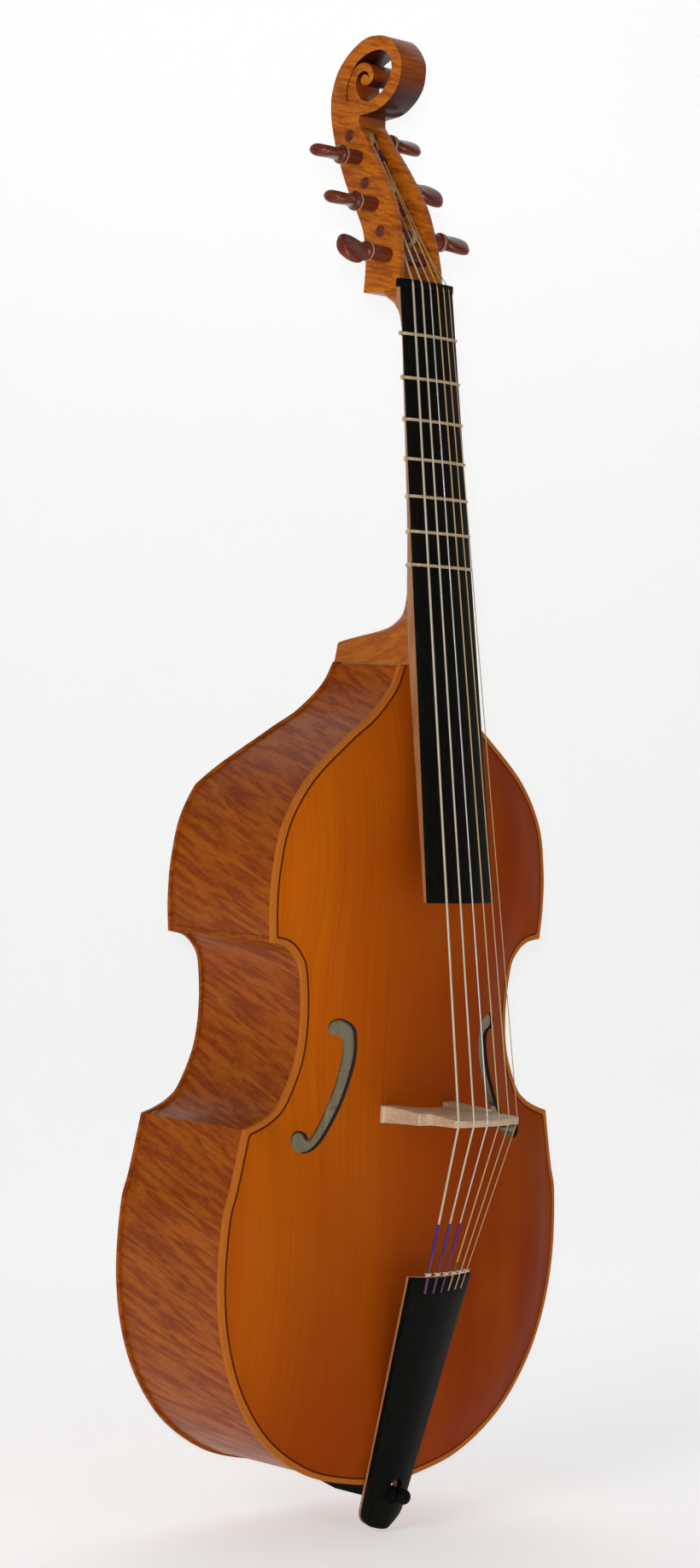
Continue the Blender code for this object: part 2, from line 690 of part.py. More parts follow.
def make_windings():
    for number, (y, z, side, _, _) in enumerate(PEGS, 1):
        at = WINDING_X[number - 1]
        inner = shank_radius(side * at + WINDING_WIDTH / 2, head_half(z)) + GAP
        bm = bmesh.new()
        half = WINDING_WIDTH / 2
        corners = [(inner, half), (WINDING_RADIUS, half), (WINDING_RADIUS, -half), (inner, -half)]
        ring = [bm.verts.new((radius, 0, height)) for radius, height in corners]
        for index in range(4):
            bm.edges.new((ring[index], ring[(index + 1) % 4]))
        mesh = bpy.data.meshes.new(f"string_winding_{number}")
        bm.to_mesh(mesh)
        bm.free()
        finish = "wound_wire" if PEG_STRING[number - 1] < 3 else "gut"
        winding = place(f"string_winding_{number}", mesh, finish)
        turned = winding.modifiers.new("turned", "SCREW")
        turned.angle = 2 * pi
        turned.steps = 24
        turned.render_steps = 24
        turned.use_merge_vertices = True
        turned.merge_threshold = 0.00001
        winding.location = (at, y, z)
        winding.rotation_euler = (0, pi / 2, 0)


def string_points(index):
    """The string's stops: tailpiece, bridge, nut and the front of its winding."""
    share = (index - 2.5) / 2.5
    radius = STRING_DIAMETERS[index] / 2
    bridge_x = share * STRING_HALF_AT_BRIDGE
    bridge_y = BRIDGE_CROWN_Y + (BRIDGE_SIDE_Y - BRIDGE_CROWN_Y) * share**2 - radius - GAP
    nut_x = share * STRING_HALF_AT_NUT
    across = nut_x / FINGERBOARD_NUT_HALF
    nut_y = FINGERBOARD_EDGE_Y - 0.3 * MM - 6.6 * MM * (1 - across**2) - radius - GAP
    tail_x = share * 22 * MM
    tail = TAIL_TOP + (TAIL_FOOT - TAIL_TOP).normalized() * 3 * MM
    tail_y = tail.y - tail_rise(tail_x / TAIL_TOP_HALF) - 2.2 * MM - radius
    number = PEG_STRING.index(index)
    peg_y, peg_z, _, _, _ = PEGS[number]
    reach = WINDING_RADIUS + radius + GAP
    nut = Vector((nut_x, nut_y, NUT_Z + 5 * MM))
    run = (Vector((0, peg_y, peg_z)) - nut).normalized()
    square = Vector((0, -run.z, run.y)).normalized()
    end = Vector((WINDING_X[number], peg_y, peg_z)) + square * reach
    return [
        Vector((tail_x, tail_y, tail.z)),
        Vector((bridge_x, bridge_y, BRIDGE_Z - 3 * MM)),
        Vector((bridge_x, bridge_y - 0.1 * MM, BRIDGE_Z + 3 * MM)),
        nut - Vector((0, 0, 3 * MM)),
        nut + Vector((0, 0.4 * MM, 2.5 * MM)),
        end,
    ]


def make_strings():
    for index, diameter in enumerate(STRING_DIAMETERS):
        name = f"string_{6 - index}"
        curve = bpy.data.curves.new(name, "CURVE")
        curve.dimensions = "3D"
        curve.bevel_depth = diameter / 2
        curve.bevel_resolution = 2
        curve.use_fill_caps = True
        stops = string_points(index)
        spline = curve.splines.new("POLY")
        spline.points.add(len(stops) - 1)
        for point, stop in zip(spline.points, stops):
            point.co = (*stop, 1)
        place(name, curve, "wound_wire" if index < 3 else "gut")


def make_bridge():
    feet = []
    for x in (46.8, 30.0):
        rises = [belly_y(x * MM, BRIDGE_Z + dz * MM) for dz in (-8, 0, 8)]
        feet.append((x, min(rises) / MM - 0.4))
    crown = []
    for u in np.linspace(1, 0, 7)[1:]:
        y = BRIDGE_CROWN_Y + (BRIDGE_SIDE_Y - BRIDGE_CROWN_Y) * u**2
        crown.append((39 * u, y / MM))
    half = [feet[0], *BRIDGE_HALF, *crown]
    inner = [*BRIDGE_ARCH, feet[1]]
    right = half
    left = [(-x, y) for x, y in reversed(half[:-1])]
    under = [(-x, y) for x, y in reversed(inner[1:])] + inner
    outline = np.array(right + left + under) * MM

    def thick(u, v, w):
        height = (-v - 17 * MM) / (86 * MM)
        return Vector((u, v, BRIDGE_Z + w * (7.3 - 4.6 * min(max(height, 0), 1)) * MM))

    place("bridge", outline_mesh("bridge", outline, thick), "raw_maple", smooth=False)


def tail_rise(share):
    """How far the arched face of the tailpiece stands in front of its edges."""
    return 6.5 * MM * (1 - min(abs(share), 1) ** 2)


def make_tailpiece():
    run = TAIL_FOOT - TAIL_TOP
    square = Vector((0, -run.z, run.y)).normalized()
    if square.y > 0:
        square = -square
    face, core = [], []
    for share in (0, 0.5, 0.9, 0.955, 0.985, 1.0):
        centre = TAIL_TOP + run * share
        half = TAIL_TOP_HALF + (TAIL_FOOT_HALF - TAIL_TOP_HALF) * share
        round_off = max(share - 0.93, 0) / 0.07
        half *= sqrt(1 - 0.55 * round_off**2.5)
        outer, middle, inner = [], [], []
        for u in np.linspace(-1, 1, 11):
            lift = tail_rise(u)
            base = centre + Vector((half * u, 0, 0))
            outer.append(base + square * lift)
            middle.append(base + square * (lift - TAIL_FACE))
            inner.append(base + square * (lift * 0.6 - TAIL_FACE - TAIL_CORE))
        below = [point - square * GAP for point in middle]
        face.append(outer + middle[::-1])
        core.append(below + inner[::-1])
    slot = box_cutter("tail_slot", (-7.5 * MM, -40 * MM, -23 * MM), (7.5 * MM, 20 * MM, -2.5 * MM))
    boolean(loft("tailpiece", face, "ebony"), slot)
    boolean(loft("tailpiece_core", core, "raw_maple"), slot)


def box_cutter(name, low, high):
    bm = bmesh.new()
    bmesh.ops.create_cube(bm, size=1)
    bmesh.ops.scale(bm, vec=Vector(high) - Vector(low), verts=bm.verts)
    bmesh.ops.translate(bm, vec=(Vector(high) + Vector(low)) / 2, verts=bm.verts)
    return cutter(name, mesh_of(bm, name))


def make_hook():
    side = [(106, -5.9), (106, -10), (50, -21), (-19.5, -21), (-19.5, -9), (5, -9), (5, -5.9)]

    def bar(u, v, w):
        return Vector((6 * MM * w, u, v))

    place("hook_bar", outline_mesh("hook_bar", np.array(side) * MM, bar), "ebony", smooth=False)
    bm = bmesh.new()
    profile = [(0.0, 10), (3.4, 9.4), (5.9, 7), (6.6, 4), (5.9, 1.2), (4.2, 0), (0.0, 0)]
    points = [bm.verts.new((radius * MM, 0, height * MM)) for radius, height in profile]
    for first, second in zip(points[:-1], points[1:]):
        bm.edges.new((first, second))
    mesh = bpy.data.meshes.new("hook_knob")
    bm.to_mesh(mesh)
    bm.free()
    knob = place("hook_knob", mesh, "ebony")
    turned = knob.modifiers.new("turned", "SCREW")
    turned.angle = 2 * pi
    turned.steps = 24
    turned.render_steps = 24
    turned.use_merge_vertices = True
    turned.merge_threshold = 0.00001
    knob.location = (0, -19.8 * MM, -15 * MM)
    knob.rotation_euler = (pi / 2, 0, 0)


make_belly()
make_back()
make_ribs()
make_blocks()
make_bass_bar()
make_soundpost()
make_neck()
make_pegbox()
make_fingerboard()
make_nut()
make_frets()
make_pegs()
make_windings()
make_strings()
make_bridge()
make_tailpiece()
make_hook()
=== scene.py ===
"""The looks of the six-string bass viol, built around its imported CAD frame.

Pieces are drawn in the design frame, whose origin lies in the plane of the belly's edge with the
nut at z = 1 m, and are then shifted by the place of the hanging ledge into the row frame.
"""

import json
from math import cos, pi, radians, sin, sqrt, tan

import bmesh
import bpy
import numpy as np
from mathutils import Matrix, Vector


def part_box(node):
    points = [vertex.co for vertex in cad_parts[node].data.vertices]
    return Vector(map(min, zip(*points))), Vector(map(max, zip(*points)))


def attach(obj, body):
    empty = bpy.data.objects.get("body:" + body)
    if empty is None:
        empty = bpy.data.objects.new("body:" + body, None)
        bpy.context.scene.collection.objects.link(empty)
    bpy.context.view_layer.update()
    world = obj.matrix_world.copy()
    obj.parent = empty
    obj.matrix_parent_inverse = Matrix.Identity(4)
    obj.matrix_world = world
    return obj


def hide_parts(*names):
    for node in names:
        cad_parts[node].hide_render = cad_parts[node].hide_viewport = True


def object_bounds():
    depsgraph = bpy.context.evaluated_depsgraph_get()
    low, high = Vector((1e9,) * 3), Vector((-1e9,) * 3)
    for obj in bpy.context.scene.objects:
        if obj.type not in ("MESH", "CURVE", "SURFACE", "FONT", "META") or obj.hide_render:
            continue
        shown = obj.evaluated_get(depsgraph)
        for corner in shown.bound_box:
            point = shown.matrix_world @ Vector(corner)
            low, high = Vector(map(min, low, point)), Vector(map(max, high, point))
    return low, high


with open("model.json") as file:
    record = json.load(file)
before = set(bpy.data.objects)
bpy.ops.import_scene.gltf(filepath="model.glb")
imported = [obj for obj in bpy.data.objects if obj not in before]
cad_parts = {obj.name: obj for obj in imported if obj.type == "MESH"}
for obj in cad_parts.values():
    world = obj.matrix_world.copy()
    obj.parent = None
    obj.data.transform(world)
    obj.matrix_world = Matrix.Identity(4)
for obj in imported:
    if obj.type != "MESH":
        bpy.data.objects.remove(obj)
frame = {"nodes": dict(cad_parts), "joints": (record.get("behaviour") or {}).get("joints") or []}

CAD_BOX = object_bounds()
MM = 0.001
ROOT = "body_and_neck"

# Driving dimensions: the CAD model's own, except for the depth at which the tailpiece's layers meet.
LEDGE = Vector((0, 61 * MM, 997 * MM))
NUT_Z = 1000 * MM
STRING_LENGTH = 700 * MM
TOP_THICKNESS = 4 * MM
BACK_THICKNESS = 3.2 * MM
RIB_THICKNESS = 1.8 * MM
OVERHANG = 2.5 * MM
ARCH_HEIGHT = 19.5 * MM
ARCH_REACH = 38 * MM
INLAY_INSET = 5.2 * MM
FINGERBOARD_LENGTH = 512 * MM
FINGERBOARD_EDGE_Y = 20.3 * MM
FINGERBOARD_TILT = radians(8.26)
FINGERBOARD_NUT_HALF = 32 * MM
FINGERBOARD_END_HALF = 40.8 * MM
FINGERBOARD_END_Z = NUT_Z - FINGERBOARD_LENGTH
NUT_EDGE_Y = FINGERBOARD_EDGE_Y - 0.3 * MM
NUT_RISE = 6.7 * MM
EBONY_EDGE = 1.6 * MM
FRETS = 7
FRET_SLIDE = 4 * MM
FRET_RADIUS = 0.62 * MM
FRET_GAP = 0.15 * MM
BRIDGE_Z = 309.5 * MM
BRIDGE_CROWN_Y = -103 * MM
BRIDGE_SIDE_Y = -97 * MM
STRING_HALF_AT_BRIDGE = 36.5 * MM
STRING_HALF_AT_NUT = 22.4 * MM
STRING_DIAMETERS = [2.0 * MM, 1.7 * MM, 1.4 * MM, 1.2 * MM, 1.0 * MM, 0.8 * MM]
TAIL_TOP = Vector((0, -55 * MM, 176 * MM))
TAIL_FOOT = Vector((0, 1 * MM, -44 * MM))
TAIL_TOP_HALF = 36 * MM
TAIL_FOOT_HALF = 22.5 * MM
TAIL_FACE = 4.9 * MM
TAIL_CORE = 2.3 * MM
TAIL_TAPER = 0.93
PEG_TURNS = [55, 30, 12, 40, 8, 24]
PEG_REACH = [9 * MM, 10 * MM, 5 * MM, 3 * MM, 3 * MM, 0]
PEG_STRING = [0, 5, 1, 4, 2, 3]
WINDING_RADIUS = 7.6 * MM
CHEEK = 6 * MM

# Outlines in millimetres. They are the CAD model's, but the sound hole's ends are a little rounder and
# the heel's lowest section is 0.6 mm nearer the body.
LOWER_BOUT = [(0, -8), (40, -4.2), (92.6, 9), (141.7, 38.4), (175.9, 78.4), (195.9, 122.8)]
LOWER_BOUT += [(204.7, 172.1), (203, 226.9), (195.8, 253.8), (185.2, 300.8)]
WAIST = [(185.2, 300.8), (171, 305.1), (156.5, 311.8), (144.2, 323.2), (129.4, 354.7)]
WAIST += [(125.2, 389.5), (128.8, 425.7), (135.5, 439.2), (147.5, 448.5), (164.9, 452.2)]
UPPER_BOUT = [(164.9, 452.2), (167.2, 480), (165.8, 512), (156.7, 550.7), (130.7, 588.2)]
UPPER_BOUT += [(87, 623.4), (61, 641.4), (38.9, 664.6), (30.3, 684)]
BACK_PROFILE = [(-20, 123.7), (575, 123.7), (600, 108.5), (620, 98), (640, 89.5), (660, 83.5)]
BACK_PROFILE += [(684, 79)]
SOUND_HOLE = [(86.4, 388.2), (78.6, 383), (75.3, 374), (76.6, 352.2), (88.5, 321.1), (104.7, 295.7)]
SOUND_HOLE += [(116, 284.6), (124.5, 280.9), (132.3, 280.6), (138.2, 284), (140.4, 290)]
SOUND_HOLE += [(138, 295.8), (131.6, 298.4), (125, 296), (121.6, 292.2)]
SOUND_HOLE += [(108.3, 310.3), (94.9, 338.5), (88.4, 364.1), (91.2, 374.2), (98.3, 376.4)]
SOUND_HOLE += [(102.6, 381), (100.3, 386.9), (94, 389.7)]
# The neck's sections as (height, half width, depth of the back, power of the back's curve).
NECK_SECTIONS = [
    (683.7, 30.2, 80.2, 30),
    (690, 29.2, 79.6, 30),
    (696, 28.8, 79, 30),
    (700.1, 28.7, 78.2, 24),
    (702.6, 28.9, 71.2, 18),
    (706.6, 29.2, 55.9, 10),
    (709.5, 29.7, 44.8, 6),
    (712.8, 30.5, 33.7, 4),
    (717, 31.5, 25.4, 3),
    (725.8, 33.5, 16.4, 2.2),
    (740, 35.3, 14, 1.75),
    (755, 36.1, 15, 1.6),
    (797, 35.4, 17.7, 1.5),
    (869, 34.1, 23.8, 1.5),
    (955, 32.6, 31, 1.5),
    (966, 32.3, 32.4, 1.5),
    (976, 32, 36, 1.6),
    (984, 31.2, 42.5, 1.8),
    (990, 30, 47, 2.4),
    (997.3, 27.6, 54, 5),
]
HEAD_BACK = [(68, 997), (69, 1021), (73.7, 1043), (81, 1059), (99.7, 1087.5), (110, 1106)]
HEAD_BACK += [(120, 1127), (128, 1150), (130, 1168), (125.2, 1186.5), (117.2, 1198.6)]
HEAD_BACK += [(106.9, 1208), (94.3, 1215.5), (81.4, 1217.6), (68.2, 1215.6), (58, 1208)]
HEAD_BACK += [(50.5, 1197), (49.2, 1187), (51.5, 1174.5), (60, 1163), (74.2, 1154), (94.5, 1150.5)]
HEAD_FRONT = [(94.7, 1144.5), (86.5, 1133), (65.3, 1106)]
HEAD_FRONT += [(51.5, 1085), (43, 1070), (35.8, 1049), (29.9, 1025), (26.7, 997.6)]
TROUGH = [(0, 1009), (50, 1009), (57.5, 1026), (65, 1048), (76, 1066), (90.5, 1088), (101, 1108)]
TROUGH += [(111, 1128), (115.5, 1144.5), (101, 1144.5), (90, 1140), (40, 1140)]
SCROLL_HOLE = [(99.6, 1197.5), (90.4, 1202.5), (79.6, 1205.1), (70.5, 1204), (64, 1199.5)]
SCROLL_HOLE += [(60.7, 1191.5), (61.1, 1184), (65.7, 1174.8), (72.7, 1167.6), (84.2, 1162.1)]
SCROLL_HOLE += [(93.4, 1163), (104, 1163), (111.5, 1164.5), (112.6, 1172.2), (110.8, 1179.9)]
SCROLL_HOLE += [(108.3, 1184.9), (104.6, 1192)]
VOLUTE_CENTRE = (92.5, 1181)
# The volute's band as (degrees round its centre from the back over the top, radius in millimetres).
VOLUTE_OUTER = [(-87, 24), (-58, 25.5), (-41, 24.4), (-23, 20.9), (0, 17.4), (20, 16.6), (45, 15.8)]
VOLUTE_OUTER += [(90, 14.6), (135, 12.6), (180, 10.1), (215, 7.2), (255, 4.9)]
VOLUTE_INNER = [(-87, 17.6), (-58, 13.3), (-22, 10.6), (10, 9.1), (45, 8.3), (90, 7.6), (135, 6.4)]
VOLUTE_INNER += [(180, 5.3), (215, 4.4), (255, 3)]
BRIDGE_HALF = [(46.8, -21), (44.6, -24), (43.2, -40), (44.6, -57), (44, -61), (37.5, -62)]
BRIDGE_HALF += [(34.5, -66), (35.5, -78), (38.2, -90), (39, -95.5)]
BRIDGE_ARCH = [(0, -39), (14, -37.5), (23, -31), (27.5, -23)]


# ---- camera, light and stage

def make_camera():
    """The camera's place and the directions across and up its picture, in the design frame."""
    place = Vector((-2.2829, -2.1101, 0.6492))
    right = Vector((0.6923, -0.7198, 0.0514))
    up = Vector((-0.0199, 0.0522, 0.9984))
    data = bpy.data.cameras.new("camera")
    data.lens = 84.75
    data.sensor_width = 36
    data.clip_end = 30
    camera = add_object("camera", data)
    back = right.cross(up).normalized()
    up = back.cross(right).normalized()
    turn = Matrix((right.normalized(), up, back)).transposed().to_4x4()
    camera.matrix_world = Matrix.Translation(place - LEDGE) @ turn
    bpy.context.scene.camera = camera


def area_light(name, place, aim, size, power, colour=(1, 1, 1)):
    data = bpy.data.lights.new(name, "AREA")
    data.shape = "DISK"
    data.size = size
    data.energy = power
    data.color = colour
    light = add_object(name, data)
    light.location = place
    light.rotation_euler = (Vector(aim) - Vector(place)).to_track_quat("-Z", "Y").to_euler()


def make_light():
    """A small flash close to the camera, soft light on both sides and a wash on the backdrop."""
    scene = bpy.context.scene
    scene.view_settings.view_transform = "Standard"
    world = bpy.data.worlds.new("studio")
    world.use_nodes = True
    sky = world.node_tree.nodes["Background"]
    sky.inputs["Color"].default_value = (1, 1, 1, 1)
    sky.inputs["Strength"].default_value = 0.20
    scene.world = world
    middle = (0, 0, -0.45)
    area_light("flash", (-2.29, -2.17, -0.32), middle, 0.05, 28, (1, 0.97, 0.92))
    area_light("soft_left", (-3.0, -0.7, 0.6), middle, 1.2, 24)
    area_light("soft_front", (-0.4, -3.2, 0.6), middle, 1.2, 4)
    area_light("backdrop_wash", (0.9, 1.2, 1.9), (2.2, 2.0, -1.1), 1.8, 8)


def make_backdrop():
    """Pale paper: a floor just below the instrument that sweeps up into a wall behind it."""
    floor = CAD_BOX[0][2] - 4 * MM
    front, back, sweep, top, half_width = -6, 1.4, 1.6, 6, 7
    profile = [(front, floor)]
    for turn in np.linspace(0, pi / 2, 13):
        profile.append((back + sweep * sin(turn), floor + sweep * (1 - cos(turn))))
    profile.append((back + sweep, top))
    rows = [[(x, y, z) for x in (-half_width, half_width)] for y, z in profile]
    backdrop = grid_object("backdrop", rows)
    backdrop.data.polygons.foreach_set("use_smooth", [True] * len(backdrop.data.polygons))
    backdrop.rotation_euler = (0, 0, radians(-46))
    paper = plain_material("backdrop_paper", (0.93, 0.93, 0.93), 0.9)
    shine = paper.node_tree.nodes["Principled BSDF"]
    shine.inputs["Emission Color"].default_value = (1, 1, 1, 1)
    shine.inputs["Emission Strength"].default_value = 0.35
    backdrop.data.materials.append(paper)


# ---- materials

class Shader:
    """A short way to write a node material: each method adds one node and returns its output."""

    def __init__(self, name):
        self.material = bpy.data.materials.new(name)
        self.material.use_nodes = True
        self.tree = self.material.node_tree
        self.surface = self.tree.nodes["Principled BSDF"]

    def link(self, socket, value):
        if isinstance(value, bpy.types.NodeSocket):
            self.tree.links.new(value, socket)
        elif isinstance(value, tuple) and len(value) == 3 and socket.type == "RGBA":
            socket.default_value = (*value, 1)
        else:
            socket.default_value = value

    def set(self, **values):
        for name, value in values.items():
            self.link(self.surface.inputs[name.replace("_", " ")], value)

    def node(self, kind, output=0, settings=(), **inputs):
        node = self.tree.nodes.new(kind)
        for key, value in settings:
            setattr(node, key, value)
        for name, value in inputs.items():
            key = int(name[1:]) if name[0] == "i" and name[1:].isdigit() else name.replace("_", " ")
            self.link(node.inputs[key], value)
        return node.outputs[output]

    def place(self, scale, source=None, turn=(0, 0, 0)):
        if source is None:
            source = self.here()
        if any(turn):
            source = self.node("ShaderNodeMapping", Vector=source, Rotation=turn)
        return self.node("ShaderNodeMapping", Vector=source, Scale=scale)

    def noise(self, scale, source=None, detail=3.0, turn=(0, 0, 0), warp=0.0):
        where = self.place(scale, source, turn)
        return self.node("ShaderNodeTexNoise", Vector=where, Scale=1.0, Detail=detail, Distortion=warp)

    def ramp(self, value, low, high, start=0.0, end=1.0):
        return self.node(
            "ShaderNodeMapRange",
            settings=(("clamp", True),),
            Value=value,
            From_Min=low,
            From_Max=high,
            To_Min=start,
            To_Max=end,
        )

    def mix(self, share, first, second, kind="MIX"):
        node = self.tree.nodes.new("ShaderNodeMix")
        node.data_type = "RGBA"
        node.blend_type = kind
        self.link(node.inputs[0], share)
        self.link(node.inputs[6], first)
        self.link(node.inputs[7], second)
        return node.outputs[2]

    def math(self, kind, first, second=0.0):
        return self.node("ShaderNodeMath", settings=(("operation", kind),), i0=first, i1=second)

    def bump(self, height, strength, distance):
        bump = self.node("ShaderNodeBump", Strength=strength, Distance=distance, Height=height)
        self.link(self.surface.inputs["Normal"], bump)

    def here(self):
        return self.node("ShaderNodeTexCoord", output="Object")

    def part(self, axis, source):
        return self.node("ShaderNodeSeparateXYZ", output=axis, Vector=source)

    def attribute(self, name, output="Fac"):
        return self.node("ShaderNodeAttribute", output=output, settings=(("attribute_name", name),))


def plain_material(name, colour, roughness):
    shader = Shader(name)
    speck = shader.noise((3, 3, 3), detail=2.0)
    pale = tuple(min(c * 1.02, 1) for c in colour)
    shader.set(Base_Color=shader.mix(speck, colour, pale), Roughness=roughness)
    return shader.material


def spruce_material():
    """Varnished spruce: close upright grain, broad bands, and a dark inlaid line near the edge."""
    shader = Shader("belly_spruce")
    fine = shader.noise((620, 15, 2.5), detail=2.0)
    bands = shader.noise((48, 6, 0.8))
    cloud = shader.noise((7, 7, 4))
    where = shader.here()
    x = shader.part(0, where)
    z = shader.part(2, where)
    # Painted shade: the colour darkens towards the belly's right side and towards its foot.
    across = shader.math("MAXIMUM", shader.ramp(x, -0.14, 0.10), shader.ramp(z, -0.60, -1.0, 0, 0.85))
    base = shader.mix(across, (0.49, 0.106, 0.002), (0.22, 0.025, 0.0006))
    base = shader.mix(shader.ramp(bands, 0.35, 0.68, 0, 0.40), base, (0.33, 0.048, 0.003))
    base = shader.mix(shader.ramp(cloud, 0.45, 0.75, 0, 0.30), base, (0.50, 0.14, 0.008))
    base = shader.mix(shader.ramp(fine, 0.45, 0.70, 0, 0.30), base, (0.24, 0.030, 0.002))
    rim = shader.attribute("rim")
    edge = shader.mix(shader.ramp(fine, 0.4, 0.7, 0, 0.3), (0.46, 0.130, 0.014), (0.34, 0.075, 0.007))
    base = shader.mix(shader.ramp(rim, INLAY_INSET, 4.6 * MM), base, edge)
    line = shader.math("ABSOLUTE", shader.math("SUBTRACT", rim, INLAY_INSET))
    base = shader.mix(shader.ramp(line, 1.1 * MM, 0.6 * MM), base, (0.085, 0.014, 0.003))
    rough = shader.ramp(cloud, 0.3, 0.7, 0.36, 0.48)
    shader.set(Base_Color=base, Roughness=rough, Specular_IOR_Level=0.02)
    shader.bump(fine, 0.12, 0.0004)
    return shader.material


def maple_material(name, pale, dark, source=None, scale=(95, 10, 10), turn=(0, 0, 0), strength=0.8,
                   scroll=False):
    """Varnished maple with flame: soft dark stripes across fine fibres."""
    shader = Shader(name)
    along = shader.attribute(source, "Vector") if source else None
    flame = shader.noise(scale, along, detail=2.0, turn=turn, warp=0.5)
    wide = shader.noise(tuple(s * 0.28 for s in scale), along, detail=2.0, turn=turn)
    fibre = shader.noise(tuple(s * 5 for s in scale), along, detail=2.0, turn=turn)
    base = shader.mix(shader.ramp(flame, 0.42, 0.60, 0, strength), pale, dark)
    base = shader.mix(shader.ramp(wide, 0.45, 0.7, 0, 0.35), base, dark)
    base = shader.mix(shader.ramp(fibre, 0.50, 0.72, 0, 0.35), base, tuple(c * 0.7 for c in dark))
    base = shader.mix(shader.ramp(fibre, 0.48, 0.30, 0, 0.25), base, tuple(c * 1.5 for c in pale))
    # The scroll takes painted shade on its band and underside.
    if scroll:
        base = shade_scroll(shader, base)
    rough = shader.ramp(flame, 0.3, 0.7, 0.32, 0.44)
    shader.set(Base_Color=base, Roughness=rough, Specular_IOR_Level=0.1)
    shader.set(Coat_Weight=0.3 if scroll else 0.05, Coat_Roughness=0.09)
    shader.bump(fibre, 0.08, 0.0003)
    return shader.material


def shade_scroll(shader, base):
    """Painted shade on the scroll's turned band: darker and redder, most of all on its underside."""
    normal = shader.node("ShaderNodeNewGeometry", output="Normal")
    sideways = shader.math("ABSOLUTE", shader.part(0, normal))
    upward = shader.part(2, normal)
    high = shader.ramp(shader.part(2, shader.here()), 0.140, 0.150)
    band = shader.math("MULTIPLY", high, shader.ramp(sideways, 0.75, 0.40))
    # Painted shade: band faces darker and redder, faces that look down near black.
    shaded_red = shader.mix(0.6, base, (0.22, 0.030, 0.004))
    shaded_red = shader.mix(shader.ramp(upward, 0.25, -0.65, 0, 0.93), shaded_red, (0.022, 0.003, 0.002))
    return shader.mix(band, base, shaded_red)


def bare_wood_material(name, pale, dark, scale, rough=0.5):
    shader = Shader(name)
    grain = shader.noise(scale, detail=4.0)
    stain = shader.noise((30, 30, 30))
    base = shader.mix(shader.ramp(grain, 0.4, 0.7), pale, dark)
    base = shader.mix(shader.ramp(stain, 0.5, 0.8, 0, 0.4), base, tuple(c * 0.7 for c in dark))
    shader.set(Base_Color=base, Roughness=shader.ramp(grain, 0.3, 0.7, rough - 0.05, rough + 0.1))
    shader.bump(grain, 0.15, 0.0003)
    return shader.material


def ebony_material():
    shader = Shader("ebony")
    grain = shader.noise((500, 500, 9))
    worn = shader.noise((16, 16, 9))
    base = shader.mix(shader.ramp(grain, 0.5, 0.75), (0.0035, 0.0038, 0.0030), (0.008, 0.007, 0.005))
    rough = shader.ramp(worn, 0.3, 0.7, 0.42, 0.56)
    shader.set(Base_Color=base, Roughness=rough, Specular_IOR_Level=0.04)
    shader.bump(grain, 0.1, 0.0002)
    return shader.material


def peg_material():
    shader = Shader("peg_wood")
    grain = shader.noise((25, 420, 420))
    rub = shader.noise((60, 60, 60))
    base = shader.mix(shader.ramp(grain, 0.4, 0.7), (0.165, 0.027, 0.011), (0.080, 0.012, 0.006))
    base = shader.mix(shader.ramp(rub, 0.55, 0.8, 0, 0.4), base, (0.20, 0.045, 0.02))
    shader.set(Base_Color=base, Roughness=shader.ramp(rub, 0.3, 0.7, 0.26, 0.38))
    shader.set(Specular_IOR_Level=0.3, Coat_Weight=0.12, Coat_Roughness=0.12)
    shader.bump(grain, 0.08, 0.0002)
    return shader.material


def string_material(name, pale, dark, metal, pitch, rough):
    """Fine turns round a string, seen as narrow rings along it."""
    shader = Shader(name)
    z = shader.part(2, shader.here())
    wave = shader.math("SINE", shader.math("MULTIPLY", z, 2 * pi / pitch))
    tone = shader.noise((60, 60, 60), detail=2.0)
    base = shader.mix(shader.ramp(wave, -0.6, 0.8, 0, 0.6), pale, dark)
    base = shader.mix(shader.ramp(tone, 0.45, 0.7, 0, 0.4), base, dark)
    shine = shader.ramp(tone, 0.3, 0.7, rough, rough + 0.1)
    shader.set(Base_Color=base, Roughness=shine, Metallic=metal)
    shader.bump(wave, 0.3, 0.0001)
    return shader.material


# ---- mesh helpers

def smooth_line(points, steps, closed=False, unit=MM):
    """A Catmull-Rom curve through the points, with this many steps in each span."""
    points = np.array(points, float) * unit
    count = len(points)
    if closed:
        guide = np.vstack([points[-1:], points, points[:2]])
    else:
        guide = np.vstack([2 * points[:1] - points[1:2], points, 2 * points[-1:] - points[-2:-1]])
    spans = count if closed else count - 1
    share = (np.arange(steps) / steps)[:, None]
    parts = []
    for span in range(spans):
        a, b, c, d = guide[span : span + 4]
        cubic = (2 * a - 5 * b + 4 * c - d) * share**2 + (3 * b - a - 3 * c + d) * share**3
        parts.append(0.5 * (2 * b + (c - a) * share + cubic))
    if not closed:
        parts.append(points[-1:])
    return np.vstack(parts)


def grid_object(name, rows, round_way=False, caps=False):
    """Quads through rows of points; round_way joins each row's end to its start."""
    rows = np.asarray(rows, float)
    count, wide = rows.shape[:2]
    faces = []
    last = wide if round_way else wide - 1
    for row in range(count - 1):
        for column in range(last):
            after = (column + 1) % wide
            low, high = row * wide, (row + 1) * wide
            faces.append((low + column, low + after, high + after, high + column))
    if caps:
        faces.append(tuple(range(wide))[::-1])
        faces.append(tuple(range((count - 1) * wide, count * wide)))
    mesh = bpy.data.meshes.new(name)
    mesh.from_pydata(rows.reshape(-1, 3).tolist(), [], faces)
    return add_object(name, mesh)


def add_object(name, data):
    thing = bpy.data.objects.new(name, data)
    bpy.context.scene.collection.objects.link(thing)
    return thing


def outward(thing):
    """Turns a closed piece's faces outward."""
    bm = bmesh.new()
    bm.from_mesh(thing.data)
    bm.normal_update()
    bmesh.ops.recalc_face_normals(bm, faces=bm.faces)
    bm.to_mesh(thing.data)
    bm.free()


